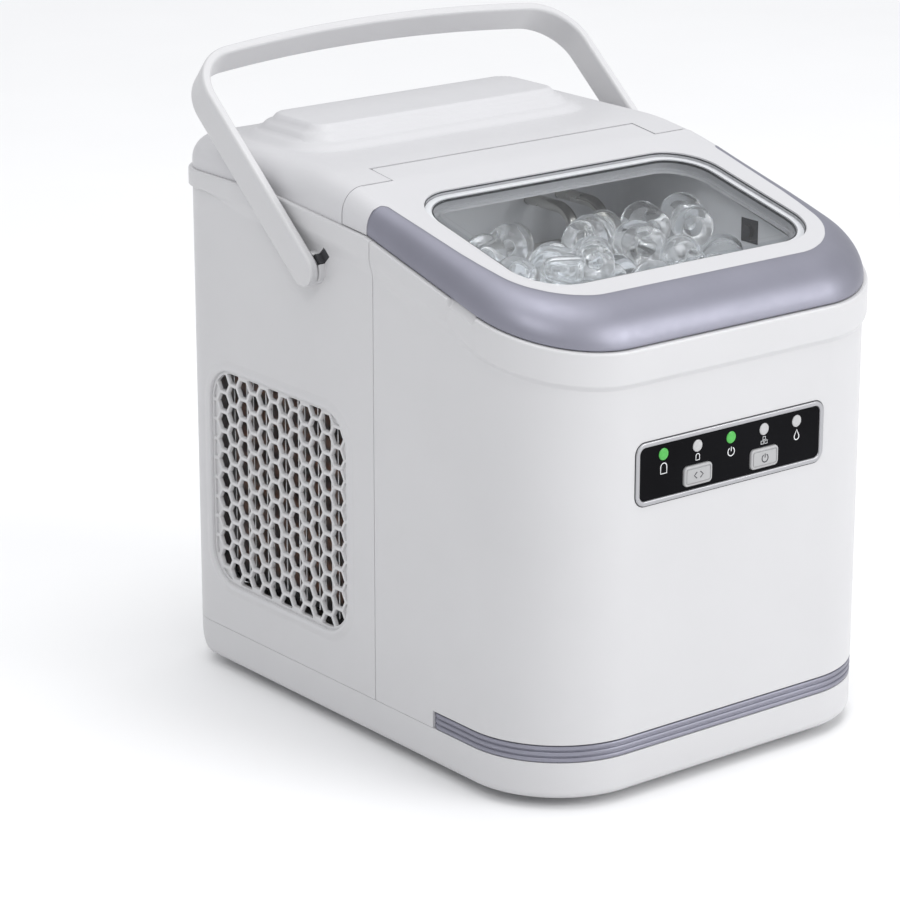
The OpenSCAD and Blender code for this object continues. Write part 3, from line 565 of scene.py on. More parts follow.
rear_shell_path = rear_path(SEAM + 0.1, 4.0, [SEAM + 0.26, SEAM + 0.6])
rear_shell = casing(rear_shell_path, lambda p: False)
rear_shell = rear_shell.object("rear_shell")
for place in (on_left, on_right):
    boss = plate(circle(*PIVOT, 8.0, 40), [(-0.6, -1.0), (0, -1.0), (0, 2.7), (-0.2, 3.15), (-0.6, 3.4)], place)
    boolean(rear_shell, boss.object("boss"), "UNION")
cutters, slot_shade_plugs = Mesh(), Mesh()
THROUGH = [(0, -8), (0, 8)]  # a cutter's profile, right through a wall
SEAT_R, SLOT_HALF, SLOT_END = 5.5, 2.9, 13  # seat of the handle's stub, and the keyhole slot from it
DIAG = sqrt(0.5)  # the slot runs up and forward
half_slot = degrees(asin(SLOT_HALF / SEAT_R))
vent_outline = rrect(3, 117, 48, 160, 18, 14)
keyhole = arc(*PIVOT, SEAT_R, 135 + half_slot, 495 - half_slot, 28)
keyhole += [(PIVOT[0] + (-SLOT_END * DIAG + w * DIAG), PIVOT[1] + (SLOT_END * DIAG + w * DIAG), 0, 0)
            for w in (SLOT_HALF, -SLOT_HALF)]
for place in (on_left, on_right):
    cutters.loft(rings(vent_outline, THROUGH, place))
    cutters.loft(rings(keyhole, THROUGH, place))
    # dark plug that closes the keyhole slot a little below the surface: painted shade that makes the slot read as a
    # black notch
    for near, far, high in ((5.9, 7.9, 2.7), (8.1, 12.6, -0.35)):
        corner_points = [(PIVOT[0] - r * DIAG + w * DIAG, PIVOT[1] + r * DIAG + w * DIAG)
                         for r, w in ((near, -2.6), (far, -2.6), (far, 2.6), (near, 2.6))]
        slot_shade_plugs.loft([[place(u, v, h) for u, v in corner_points] for h in (-2.2, high)])
for outline in (rrect(-70, 70, 76, 196, 8), circle(-70, 40, 11.1, 40), circle(72, 40, 7.1, 32)):
    cutters.loft(rings(outline, THROUGH, on_rear))
boolean(rear_shell, cutters.object("rear_cutters"))
finish(rear_shell, "machine", WHITE, ["rear_casing"], sharp=32)
# dark plugs: painted shade standing in for the shadow inside the keyhole slots
finish(slot_shade_plugs.object("keyhole_shade_plugs"), "machine", DARK, sharp=30, weighted=False)

for place, name in ((on_left, "vent_border_left"), (on_right, "vent_border_right")):
    loop = [(5.4, -0.02), (4.5, 0.1), (3.6, 0.32), (2.7, 0.62), (1.8, 0.82), (1.1, 0.84), (0.4, 0.66), (0.0, 0.3),
            (-0.15, -0.2), (-0.3, -1.12), (1.5, -1.12), (5.4, -0.6)]
    ob = band(rrect(3, 117, 48, 160, 18, 16), loop, place).object(name)
    finish(ob, "machine", WHITE, sharp=60)

# ---- honeycomb grilles
CELL_R = 4.73
PITCH_Z = 10.2
PITCH_Y = 10.2 * 0.846
FLARE = [(CELL_R - 0.1, -9.0), (CELL_R - 0.1, -2.4), (CELL_R, -1.8), (CELL_R + 0.15, -1.4), (CELL_R + 0.6, -0.95)]


def inside_depth(y, z, inset):
    """How far a point lies inside the vent outline drawn in by inset; negative outside."""
    dy = abs(y - 60) - (57 - 18)
    dz = abs(z - 104) - (56 - 18)
    if dy > 0 and dz > 0:
        return 18 - inset - hypot(dy, dz)
    return 18 - inset - max(dy, dz)


def hexagon(y, z, r):
    return [(y + r * cos(pi / 3 * k), z + r * sin(pi / 3 * k), 0, 0) for k in range(6)]


def grille(place, name, cad):
    """Plate with flared hexagonal cells: whole ones run through, clipped ones are blind."""
    body_plate = plate(rrect(3.15, 116.85, 48.15, 159.85, 17.85, 14), [(0, -3.1), (0, -1.35), (-0.15, -1.2)], place)
    ob = body_plate.object(name)
    through, cut_short, blind = Mesh(), Mesh(), Mesh()
    for i in range(-7, 8):
        for j in range(-7, 8):
            y = 64.1 + i * PITCH_Y
            z = 106.5 + (j + (0.5 if i % 2 else 0)) * PITCH_Z
            depth = inside_depth(y, z, 2.6)
            if depth > CELL_R - 0.3:
                target, rows = through, FLARE
            elif depth > -0.6:
                target, rows = cut_short, FLARE
            elif depth > -CELL_R + 1.0:
                target, rows = blind, [(CELL_R - 0.3, -2.3)] + FLARE[2:]
            else:
                continue
            target.loft([[place(u, v, h) for u, v, _, _ in hexagon(y, z, r)] for r, h in rows])
    boolean(ob, through.object("through"))
    for cells, low in ((cut_short, -9.5), (blind, -3.2)):
        clip = plate(rrect(4.6, 115.4, 49.6, 158.4, 16.4, 14), [(0, low), (0, 1)], place).object("clip")
        cells_ob = cells.object("cells")
        boolean(cells_ob, clip, "INTERSECT")
        boolean(ob, cells_ob)
    return finish(ob, "machine", GRILLE, [cad], sharp=30)


grille(on_left, "left_honeycomb", "left_vent_grille")
grille(on_right, "right_honeycomb", "right_vent_grille")

# ---- rear louvre and drain cap
louvre = Mesh()
louvre.loft(rings(rrect(-69.8, 69.8, 76.2, 195.8, 7.8), [(0, -4.6), (0, -1.2), (-0.3, -0.85), (-0.8, -0.8),
            (-5.0, -0.8), (-5.6, -1.1), (-5.8, -1.6), (-5.8, -4.6)], on_rear), wrap=True)
louvre.loft([[on_rear(u, v, h) for u, v in ((-4, 80), (4, 80), (4, 192), (-4, 192))] for h in (-4.4, -0.9)])
for side in (-1, 1):
    for i in range(13):
        z = 86.4 + i * 8.6
        u0, u1 = sorted((side * 3.0, side * 64.4))
        section = [(-4.3, 2.6), (-4.5, 1.9), (-1.5, -1.9), (-1.1, -2.0), (-0.9, -1.7), (-1.0, -1.1), (-3.9, 2.8)]
        louvre.loft([[on_rear(u, z + dz, h) for h, dz in section] for u in (u0, u1)])
finish(louvre.object("rear_slats"), "machine", WHITE, ["rear_louvre"], sharp=40)

cap = lathe([(2.0, -15.9), (7.0, -15.9), (7.0, -2.4), (10.5, -2.4), (10.6, -2.1), (10.6, 0.4), (10.3, 0.95),
             (9.6, 1.2), (7.5, 1.2), (7.1, 0.9), (6.9, 0.2), (0.5, 0.15)],
            lambda u, v, h: (u - 70, REAR + h, 40 + v), 48)
cap.loft([[(-70 + u, REAR + h, 40 + v) for u, v, _, _ in rrect(-6.6, 6.6, -1.3, 1.3, 1.2, 4)]
          for h in (0.0, 1.0, 1.15)])
finish(cap.object("drain_cap"), "plug", DARK, ["drain_plug"])

# ---- top cover
def raised(x, y):
    """Height of the stepped panel above the cover."""
    qx, qy = abs(x) - 75 + 9, abs(y - 93) - 21 + 9
    e = hypot(max(qx, 0), max(qy, 0)) + min(max(qx, qy), 0) - 9
    return (3.6 * (1 - smooth(-1.2, 3.4, e)) + 3.7 * (1 - smooth(3.8, 9.0, e)) + 2.9 * (1 - smooth(9.2, 17.5, e)))


def edge_curve(z0, top_out, top_in, w, lift, n=10):
    """Rounded edge from the wall (offset 0, z0) over to the top (offset -w)."""
    zc = z0 + lift * max(0.0, (top_out - z0) - w * 1.02)
    k = 0.56
    p0, p3, c = (0.0, zc), (-w, top_in), (0.0, top_out)
    p1 = (0.0, p0[1] + (c[1] - p0[1]) * k)
    p2 = (p3[0] + (c[0] - p3[0]) * k, p3[1] + (c[1] - p3[1]) * k)
    out = [(0.0, z0)]
    for i in range(n + 1):
        t = i / n
        a, b, d, e = (1 - t) ** 3, 3 * t * (1 - t) ** 2, 3 * t * t * (1 - t), t ** 3
        out.append((a * p0[0] + b * p1[0] + d * p2[0] + e * p3[0], a * p0[1] + b * p1[1] + d * p2[1] + e * p3[1]))
    return out


COVER_FRONT = LID_REAR + 0.7
TAB_HALF, TAB_END = 82.0, 22.7
W_COVER = 12.0
rows = steps(COVER_FRONT, REAR - R_REAR, 1.4, [TAB_END])
row_list = [(y, HW - W_COVER, -1.0, 0.0) for y in rows]
for k in range(1, 13):
    a = radians(90 * k / 12)
    row_list.append((REAR - R_REAR + (R_REAR - W_COVER) * sin(a), HW - R_REAR + (R_REAR - W_COVER) * cos(a),
                     -cos(a), sin(a)))
half = HW - W_COVER
cols_u = sorted(set([round(-1 + 2 * k / 130, 5) for k in range(131)] + [-TAB_HALF / half, TAB_HALF / half]))
verts, faces = [], []
index = {}
for j, (y, xmax, _, _) in enumerate(row_list):
    for i, u in enumerate(cols_u):
        x = u * xmax
        index[i, j] = len(verts)
        verts.append((x, y, top_z(y) + raised(x, y)))
tab_row = rows.index(TAB_END)
for j in range(len(row_list) - 1):
    for i in range(len(cols_u) - 1):
        mid = (cols_u[i] + cols_u[i + 1]) / 2 * half
        if j < tab_row and abs(mid) < TAB_HALF:
            continue
        faces.append([index[i, j], index[i + 1, j], index[i + 1, j + 1], index[i, j + 1]])
last = len(cols_u) - 1
y_rear, x_rear = row_list[-1][:2]
edge = [(index[0, j], (-xmax, y), (nx, ny)) for j, (y, xmax, nx, ny) in enumerate(row_list)]
edge += [(index[i, len(row_list) - 1], (cols_u[i] * x_rear, y_rear), (0.0, 1.0)) for i in range(1, last)]
edge += [(index[last, j], (xmax, y), (-nx, ny)) for j, (y, xmax, nx, ny) in reversed(list(enumerate(row_list)))]
previous = None
for vid, (x, y), (nx, ny) in edge:
    ox, oy = x + W_COVER * nx, y + W_COVER * ny
    curve = edge_curve(rim_z(oy) + 0.12, top_z(oy), top_z(y), W_COVER, 1.0)
    column = []
    for off, z in curve[:-1]:
        column.append(len(verts))
        verts.append((ox + off * nx, oy + off * ny, z))
    column.append(vid)
    if previous:
        for a in range(len(column) - 1):
            faces.append([previous[a], column[a], column[a + 1], previous[a + 1]])
    previous = column
cover = Mesh().add(verts, faces).object("cover_shell")
modify(cover, "SOLIDIFY", thickness=2.2 * MM, offset=-1)
modify(cover, "BEVEL", width=0.2 * MM, segments=2, limit_method="ANGLE", angle_limit=radians(60),
       use_clamp_overlap=True)
finish(cover, "machine", WHITE_TOP, ["top_cover"], sharp=50)

# ---- lid
LID_W = [(-93.4, 15.4), (-81, 13.5), (-68, 12.2), (-54, 11.6), (-40, 11.0), (-26, 10.3), (-14.9, 9.9), (4.4, 11.2)]
CORNER_W = [(0, 15.4), (17, 17.1), (33, 18.9), (49.6, 19.9), (67, 20.3), (90, 19.7)]


def lid_width(p):
    """Width of the rounded edge at a point of the plan outline."""
    x, y, nx, ny = p
    if abs(nx) == 1:
        return table(LID_W, y)
    if ny > -1:
        return table(CORNER_W, degrees(atan2(-ny, abs(nx))))
    return 19.7


BAND_END, BAND_ROUND = -14.0, 6.5


def split(p):
    """Share of the rounded edge, from the bottom, that the silver band covers."""
    x, y, nx, ny = p
    if abs(nx) < 1 or y <= BAND_END - BAND_ROUND:
        return 1.0
    if y > BAND_END + 1e-6:
        return 0.0
    u = (y - (BAND_END - BAND_ROUND)) / BAND_ROUND
    return 1 - 0.34 * (1 - sqrt(max(0.0, 1 - u * u)))


def edge_at(p):
    x, y, nx, ny = p
    w = lid_width(p)
    iy = y - w * ny
    lift = smooth(-34, 2, y) if abs(nx) == 1 else 0.0
    return edge_curve(rim_z(y) + 0.55, top_z(y), top_z(iy), w, lift, 36)


def sub_curve(curve, s0, s1, n):
    """n+1 points of the curve between shares s0 and s1 of its length, with the outward normal of each."""
    length = [0.0]
    for (a, b), (c, d) in zip(curve, curve[1:]):
        length.append(length[-1] + hypot(c - a, d - b))
    out = []
    for k in range(n + 1):
        s = (s0 + (s1 - s0) * k / n) * length[-1]
        i = max(i for i in range(len(length)) if length[i] <= s + 1e-9)
        i = min(i, len(curve) - 2)
        f = (s - length[i]) / max(1e-9, length[i + 1] - length[i])
        (a, b), (c, d) = curve[i], curve[i + 1]
        dx, dz = c - a, d - b
        m = hypot(dx, dz) or 1.0
        out.append((a + dx * f, b + dz * f, dz / m, -dx / m))
    return out


lid_extra = [BAND_END + 0.001] + [BAND_END - BAND_ROUND * (1 - (1 - k / 10) ** 2) for k in range(0, 11)]
lid_path = front_path(LID_REAR, 4.0, lid_extra)

band_cols = []
for p in lid_path:
    x, y, nx, ny = p
    s1 = split(p)
    if s1 <= 0:
        continue
    pts = sub_curve(edge_at(p), 0.0, s1 * 0.992, 22)
    end = BAND_END - y if abs(nx) == 1 else 9
    pull = 0.35 if end < 0.05 else 0.0
    outer = [(o - nrm_o * pull, z - nrm_z * pull) for o, z, nrm_o, nrm_z in pts]
    outer[0] = (outer[0][0] - 0.25, outer[0][1])
    outer.insert(1, (pts[0][0] - pull, pts[0][1] + 0.3))
    outer[-1] = (outer[-1][0] - 0.12, outer[-1][1] - 0.12)
    back = [(o - 2.0 * a, z - 2.0 * b) for o, z, a, b in pts[::-1]]
    back[-1] = (-2.0, pts[0][1])
    band_cols.append([beside(p, o, z) for o, z in outer + back])
finish(Mesh().loft(band_cols).object("lid_trim"), "lid", SILVER, ["lid_band"], sharp=50)

# the white frame goes right round the window: down its sides, over the front edge and back along the hinge tab
WIN_HALF, WIN_FRONT, WIN_REAR, WIN_R = 88.0, -120.6, -17.2, 25.0


WINDOW_CORNERS = {"front_left": (-1, -1, 180), "front_right": (1, -1, 270), "rear_right": (1, 1, 0),
                  "rear_left": (-1, 1, 90)}


def window_point(kind, t, grow):
    """Point of the window outline in the lid plane, a share t of the way along one of its eight stretches."""
    a, f, b, r = WIN_HALF + grow, WIN_FRONT - grow, WIN_REAR + grow, WIN_R + grow
    if kind in WINDOW_CORNERS:
        side, end, a0 = WINDOW_CORNERS[kind]
        g = radians(a0 + 90 * t)
        return (side * (a - r) + r * cos(g), (f + r if end < 0 else b - r) + r * sin(g))
    if kind == "left":
        return (-a, (b - r) + ((f + r) - (b - r)) * t)
    if kind == "right":
        return (a, (f + r) + ((b - r) - (f + r)) * t)
    if kind == "front":
        return (-a + r + (2 * a - 2 * r) * t, f)
    return (a - r - (2 * a - 2 * r) * t, b)


frame_cols = []


def bridge(start, end, n, drop):
    """n points that carry the lid's top, less the drop, from start towards end."""
    out = []
    for k in range(1, n + 1):
        f = k / (n + 1)
        x, y = start[0] + (end[0] - start[0]) * f, start[1] + (end[1] - start[1]) * f
        out.append((x, y, top_z(y) - drop))
    return out


def frame_column(outer, under, key):
    """One closed section of the frame: outer skin, window edge, ledge, and back under it."""
    kind, t = key
    col = list(outer) + bridge(outer[-1], on_lid(*window_point(kind, t, 0.5), 0), 8, 0)
    for grow, h in ((0.5, 0), (0.15, -0.1), (0, -0.5), (0, -3.4), (-4, -3.4), (-4, -5.4), (3, -5.4), (3, -2.5)):
        col.append(on_lid(*window_point(kind, t, grow), h))
    col += bridge(col[-1], under[0], 4, 2.5) + list(under)
    frame_cols.append(col)


def lid_key(p):
    x, y, nx, ny = p
    left = x < 0
    if abs(nx) == 1:
        if y > -22:
            t = (4.4 - y) / 26.4
            return ("rear_left", 0.5 + 0.5 * t) if left else ("rear_right", 0.5 - 0.5 * t)
        t = (-22 - y) / (93.4 - 22)
        return ("left", t) if left else ("right", 1 - t)
    if ny > -1:
        g = degrees(atan2(-ny, abs(nx))) / 90
        return ("front_left", g) if left else ("front_right", 1 - g)
    return ("front", (x + 61) / 122)


for p in lid_path:
    x, y, nx, ny = p
    s1 = split(p)
    s0 = min(1.0, s1 * 1.004) if s1 > 0 else 0.0
    pts = sub_curve(edge_at(p), min(s0, 0.985), 1.0, 12)
    outer = [beside(p, o, z) for o, z, _, _ in pts]
    under = [beside(p, o - 2.4 * a, z - 2.4 * b) for o, z, a, b in pts[::-1]]
    if s1 <= 0:
        under[-1] = (x - 2.4 * nx, y, outer[0][2])
    frame_column(outer, under, lid_key(p))


def rear_column(x, y, nx, ny, key):
    """Section where the lid ends in a plain rounded edge."""
    prof = [(0.0, -2.5)] + [(-0.5 * (1 - cos(a)), -0.5 + 0.5 * sin(a))
                             for a in (pi / 2 * k / 11 for k in range(12))]
    lean_out = 0.25 if ny == 1 and y > 10 else 0.0
    p = (x, y, nx, ny)
    outer = [beside(p, o - lean_out * h, top_z(y) + h) for o, h in prof]
    under = [beside(p, -(1.2 + 0.02 * k), top_z(y) - 2.5) for k in range(13)][::-1]
    frame_column(outer, under, key)


tab_half, tab_end = 81.3, 21.6
for x, t in ((98.5, 0.55), (94, 0.6), (88, 0.68), (81.9, 0.74)):
    rear_column(x, LID_REAR, 0, 1, ("rear_right", t))
for y, t in ((LID_REAR + 0.01, 0.75), (8, 0.79), (12, 0.83), (16, 0.87), (20, 0.91)):
    rear_column(tab_half, y, 1, 0, ("rear_right", t))
for k in range(21):
    x = tab_half - 0.5 - (2 * tab_half - 1) * k / 20
    t = (63 - x) / 126
    key = ("rear", t) if 0 <= t <= 1 else (("rear_right", 0.96) if x > 0 else ("rear_left", 0.04))
    rear_column(x, tab_end, 0, 1, key)
for y, t in ((20, 0.09), (16, 0.13), (12, 0.17), (8, 0.21), (LID_REAR + 0.01, 0.25)):
    rear_column(-tab_half, y, -1, 0, ("rear_left", t))
for x, t in ((-81.9, 0.26), (-88, 0.32), (-94, 0.4), (-98.5, 0.45)):
    rear_column(x, LID_REAR, 0, 1, ("rear_left", t))
lid_mesh = Mesh().loft(frame_cols, wrap=True)
for side in (-1, 1):
    x0, x1 = sorted((side * 74.0, side * 81.3))
    sleeve = ((x0, 2.1), (x0, 3.6), (x0 + 0.3, 3.9), (x1 - 0.3, 3.9), (x1, 3.6), (x1, 2.1))
    lid_mesh.loft([[(x, HINGE[0] + r * cos(a), HINGE[1] + r * sin(a)) for a in full_turn(24)]
                   for x, r in sleeve], wrap=True)
finish(lid_mesh.object("lid_top"), "lid", WHITE_TOP, ["lid_frame"], sharp=40)

# ---- window
pane_outline = rrect(-WIN_HALF, WIN_HALF, WIN_FRONT, WIN_REAR, WIN_R, 20)
pane = Mesh()
pane.loft(rings(pane_outline, [(-0.6, -2.9), (-0.4, -2.7), (-0.35, -0.9), (-0.6, -0.45), (-1.2, -0.3), (-6.2, -0.3),
                               (-7.0, -0.5), (-7.8, -1.0), (-8.6, -1.15)], on_lid))
pane.loft(rings(pane_outline, [(-5.0, -3.0), (-5.1, -7.0), (-5.5, -7.45), (-7.0, -7.45), (-7.4, -7.0), (-7.5, -3.0)],
                on_lid), wrap=True)
# two thin near-black rings, at the pane's outer edge and by the inner edge of the frame's ledge: painted shade
# standing in for the shadow gaps there
lip = band(pane_outline, [(-0.05, -0.9), (-0.05, -1.5), (-0.3, -1.5), (-0.3, -0.9)], on_lid)
lip.loft(rings(pane_outline, [(-4.05, -3.0), (-4.05, -4.0), (-4.6, -4.0), (-4.6, -3.0)], on_lid), wrap=True)
finish(lip.object("window_shade_lines"), "lid", SHADE_LINE, sharp=50)
finish(pane.object("window_pane"), "lid", CLEAR, ["lid_window"], sharp=60)

# ---- handle
HALF, REACH, ARCH, RC = 117.5, 133.4, 795.0, 26.4  # half width, reach from the pivot, crown and corner radii
STRAP = 8.4  # half width of the strap
cx = HALF - RC
cs = REACH - ARCH + sqrt((ARCH - RC) ** 2 - cx * cx)
phi = degrees(acos(cx / (ARCH - RC)))
along, over = (0.0, sin(LEAN), cos(LEAN)), (0.0, cos(LEAN), -sin(LEAN))


def bail(x, s, w):
    return (x, PIVOT[0] + s * along[1] + w * over[1], PIVOT[1] + s * along[2] + w * over[2])


centre = []
for k in range(13):
    s = -STRAP * cos(pi / 2 * k / 12)
    centre.append((-HALF, s, -1.0, 0.0, sqrt(max(0.0, STRAP ** 2 - s * s))))
for s in steps(0, cs, 5)[1:-1]:
    centre.append((-HALF, s, -1.0, 0.0, STRAP))
for k in range(21):
    a = radians(180 - (180 - (180 - phi)) * k / 20)
    centre.append((-cx + RC * cos(a), cs + RC * sin(a), cos(a), sin(a), STRAP))
for k in range(1, 40):
    a = radians((180 - phi) + (2 * phi - 180) * k / 40)
    centre.append((ARCH * cos(a), REACH - ARCH + ARCH * sin(a), cos(a), sin(a), STRAP))
left_half = [c for c in centre if c[0] < -0.01]
centre = left_half + [(0.0, REACH, 0.0, 1.0, STRAP)] + [(-x, s, -nx, ns, w) for x, s, nx, ns, w in left_half[::-1]]
section = []
for cw, ct, a0 in ((1, 1, 0), (-1, 1, 90), (-1, -1, 180), (1, -1, 270)):
    for k in range(7):
        a = radians(a0 + 15 * k)
        section.append((cw, ct, cos(a), sin(a)))
cols = []
for x, s, nx, ns, w in centre:
    w = max(w, 1.0)
    rad = min(1.9, w * 0.8)
    col = []
    for cw, ct, ca, sa in section:
        ow = cw * (w - rad) + rad * ca
        ot = ct * (2.45 - 1.5) + 1.5 * sa
        col.append(bail(x + ot * nx, s + ot * ns, ow))
    cols.append(col)
handle = Mesh().loft(cols)
for side in (-1, 1):
    xs = [(-116.8, 4.4), (-116.8, 5.0), (-105.1, 5.0), (-104.7, 4.6)]
    handle.loft([[(side * -x, PIVOT[0] + r * cos(a), PIVOT[1] + r * sin(a)) for a in full_turn(32)]
                 for x, r in xs])
    lug = [(x, s, w) for x in (104.7, 107.7) for s, w in ((-8.5, -2.1), (-2, -2.1), (-2, 2.1), (-8.5, 2.1))]
    handle.loft([[bail(side * x, s, w) for x, s, w in lug[:4]], [bail(side * x, s, w) for x, s, w in lug[4:]]])
finish(handle.object("bail_strap"), "handle", WHITE, ["carry_handle"], sharp=50)

# ---- control panel
bezel_outline = rrect(-58, 58, PANEL_Z - 15, PANEL_Z + 15, 5.5, 12)
bezel_loop = [(-1.4, -0.8), (-1.4, 0.0), (0, 0.0), (0, 0.35), (-0.15, 0.62), (-0.5, 0.78), (-1.1, 0.8), (-1.8, 0.8),
              (-2.1, 0.7), (-2.3, 0.45), (-2.4, 0.1), (-2.4, -0.8)]
finish(band(bezel_outline, bezel_loop, on_front).object("bezel_ring"), "machine", BEZEL,
       ["panel_bezel"], sharp=50)
# thin near-black ring just outside the bezel: painted shade standing in for the gap between bezel and casing
bezel_gap_shade = band(bezel_outline, [(0.03, -0.2), (0.03, 0.1), (0.4, 0.1), (0.4, -0.2)], on_front)
finish(bezel_gap_shade.object("bezel_gap_shade_ring"), "machine", SHADE_LINE, sharp=50)
face = plate(rrect(-55.5, 55.5, PANEL_Z - 12.5, PANEL_Z + 12.5, 3.0, 10), [(0, -1.8), (0, 0.0), (-0.1, 0.14),
             (-0.3, 0.2)], on_front).object("panel_glass")
holes = Mesh()
lamp_z = PANEL_Z + 7.5
for i in range(-2, 3):
    holes.loft(rings(circle(i * LAMP_PITCH, lamp_z, 3.0, 36), [(0, -3), (0, 0.05), (0.25, 0.3)], on_front))


def key_outline(x):
    return rrect(x - 8.6, x + 8.6, PANEL_Z - 10.9, PANEL_Z - 1.2, 2.2, 10)


for s in (-1, 1):
    holes.loft(rings(key_outline(s * LAMP_PITCH), [(0.3, -3), (0.3, 0.0), (0.55, 0.3)], on_front))
boolean(face, holes.object("panel_holes"))
finish(face, "machine", GLOSS, ["panel_face"], sharp=25)

lamps = Mesh()
for i in range(-2, 3):
    green = i in (-2, 0)
    prof = [(-0.05, -2.9), (-0.05, -0.1), (-0.25, 0.12), (-0.7, 0.25), (-1.4, 0.34), (-2.2, 0.38), (-2.9, 0.4)]
    lamps.loft(rings(circle(i * LAMP_PITCH, lamp_z, 3.0, 36), prof, on_front), mat=0 if green else 1)
finish(lamps.object("lamp_lenses"), "machine", [LAMP_GREEN, LAMP_WHITE], ["indicator_lights"], sharp=60)


def ribbon(mesh, points, width, at, closed=False):
    """Thin printed stroke along a line of points; at is the face it is on and its two heights."""
    place, h0, h1 = at
    n = len(points)
    left, right = [], []
    for i in range(n):
        a = points[(i - 1) % n] if closed or i > 0 else points[i]
        b = points[(i + 1) % n] if closed or i < n - 1 else points[i]
        dx, dy = b[0] - a[0], b[1] - a[1]
        m = hypot(dx, dy) or 1.0
        ox, oy = -dy / m * width / 2, dx / m * width / 2
        left.append((points[i][0] + ox, points[i][1] + oy))
        right.append((points[i][0] - ox, points[i][1] - oy))
    mesh.loft([[place(*a, h0), place(*b, h0), place(*b, h1), place(*a, h1)] for a, b in zip(left, right)],
              wrap=closed, caps=not closed)


def arc_points(*values):
    return [(u, v) for u, v, _, _ in arc(*values)]


def power_icon(mesh, cu, cv, r, width, at):
    ribbon(mesh, arc_points(cu, cv, r, 120, 420, 20), width, at)
    ribbon(mesh, [(cu, cv + 0.1 * r), (cu, cv + 1.15 * r)], width, at)


def bullet_icon(mesh, cu, cv, r, width, at):
    pts = arc_points(cu, cv + 0.35 * r, r * 0.8, 0, 180, 12) + [(cu - 0.8 * r, cv - r), (cu + 0.8 * r, cv - r)]
    ribbon(mesh, pts, width, at, closed=True)


signs = Mesh()
icon_z = PANEL_Z + 1.9
pr = (on_front, 0.17, 0.24)
bullet_icon(signs, -2 * LAMP_PITCH, icon_z - 1.2, 2.3, 0.42, pr)
bullet_icon(signs, -LAMP_PITCH, icon_z + 0.3, 1.4, 0.36, pr)
power_icon(signs, 0, icon_z - 1.2, 2.0, 0.42, pr)
for du, dv in ((-1.15, -0.85), (1.15, -0.85), (0, 1.1)):
    ribbon(signs, [(LAMP_PITCH + du + a, icon_z + 0.2 + dv + b) for a, b in ((-0.8, -0.75), (0.8, -0.75), (0.8, 0.75),
           (-0.8, 0.75))], 0.26, pr, closed=True)
drop = arc_points(2 * LAMP_PITCH, icon_z - 1.9, 1.5, 150, 390, 18) + [(2 * LAMP_PITCH, icon_z + 1.5)]
ribbon(signs, drop, 0.42, pr, closed=True)
finish(signs.object("panel_signs"), "machine", PRINT, sharp=30, weighted=False)

for cad in ("power_button", "select_button"):
    lo, hi = (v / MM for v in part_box(cad))
    x = (lo.x + hi.x) / 2
    body = "power_key" if cad == "power_button" else "select_key"
    prof = [(1.3, -3.2), (1.3, -2.1), (0, -2.1), (0, 0.45), (-0.12, 0.8), (-0.4, 1.05), (-0.8, 1.14), (-1.15, 1.14),
            (-1.25, 0.8), (-1.55, 0.8), (-1.65, 1.12), (-1.9, 1.14)]
    key = plate(key_outline(x), prof, on_front)
    key.loft([[(x + 2 * cos(a), FRONT + h, PANEL_Z - 6 + 2 * sin(a)) for a in full_turn(20)]
              for h in (3.0, 3.6)])
    finish(key.object(cad + "_cap"), body, KEY, [cad], sharp=50)
    sign = Mesh()
    zc = PANEL_Z - 6.05
    at = (on_front, 1.10, 1.19)
    if cad == "power_button":
        power_icon(sign, x, zc - 0.2, 1.9, 0.55, at)
    else:
        for d in (-1, 1):
            ribbon(sign, [(x + d * 1.0, zc + 1.5), (x + d * 2.7, zc), (x + d * 1.0, zc - 1.5)], 0.55, at)
    finish(sign.object(cad + "_sign"), body, PRINT_DARK, sharp=30, weighted=False)

# ---- ice
rng = random.Random(9)
ROOM_PANE, ROOM_RIM = 9.2, 15.9  # depths below the lid's face that clear the pane and its rim with the basket lifted


def ice_piece(mesh, centre_at, axis, radius, length, hole, depth):
    """Hollow bullet: domed end, tapering bore, softened by melting."""
    n = 28
    half_len = length / 2
    prof = [(0.01, -half_len + depth - 0.2)]
    for k in range(1, 6):
        a = pi / 2 * k / 5
        prof.append((hole * 0.72 * sin(a), -half_len + depth - hole * 0.72 * (1 - cos(a))))
    prof += [(hole * 0.86, -half_len + depth * 0.45), (hole, -half_len + 1.6)]
    lip = (radius + hole) / 2
    wide = (radius - hole) / 2
    for k in range(1, 8):
        a = pi * k / 8
        prof.append((lip - wide * cos(a), -half_len + 1.6 - wide * 0.75 * sin(a)))
    prof += [(radius, -half_len + 2.2), (radius * 1.01, 0.0), (radius, half_len - radius * 0.92)]
    for k in range(1, 9):
        a = pi / 2 * k / 9
        prof.append((radius * cos(a), half_len - radius * 0.92 + radius * 0.92 * sin(a)))
    prof.append((0.01, half_len))
    z = Vector(axis).normalized()
    x = z.orthogonal().normalized()
    y = z.cross(x)
    ph = [rng.uniform(0, 6.28) for _ in range(3)]
    out = []
    for r, h in prof:
        ring = []
        for k in range(n):
            a = 2 * pi * k / n
            wob = 1 + 0.022 * sin(2 * a + ph[0] + h * 0.12) + 0.016 * sin(3 * a + ph[1] - h * 0.2)
            p = Vector(centre_at) + x * (r * wob * cos(a)) + y * (r * wob * sin(a)) + z * h
            ring.append(tuple(p))
        out.append(ring)
    mesh.loft(out)


BIN_X, BIN_FRONT, BIN_REAR, BIN_FLOOR = 79.5, -113.5, -42.5, 140.6
HEAP_X, HEAP_REAR, SHELF = 88.5, -8.0, 207.5  # above the basket's rim the heap leans out to here
LEDGE_FRONT, LEDGE = -22.5, 223.2  # behind this the heap stays above the manifold and the tray's drive
AWAY = np.array([0.59, 0.75, -0.30])  # along the line of sight into the window


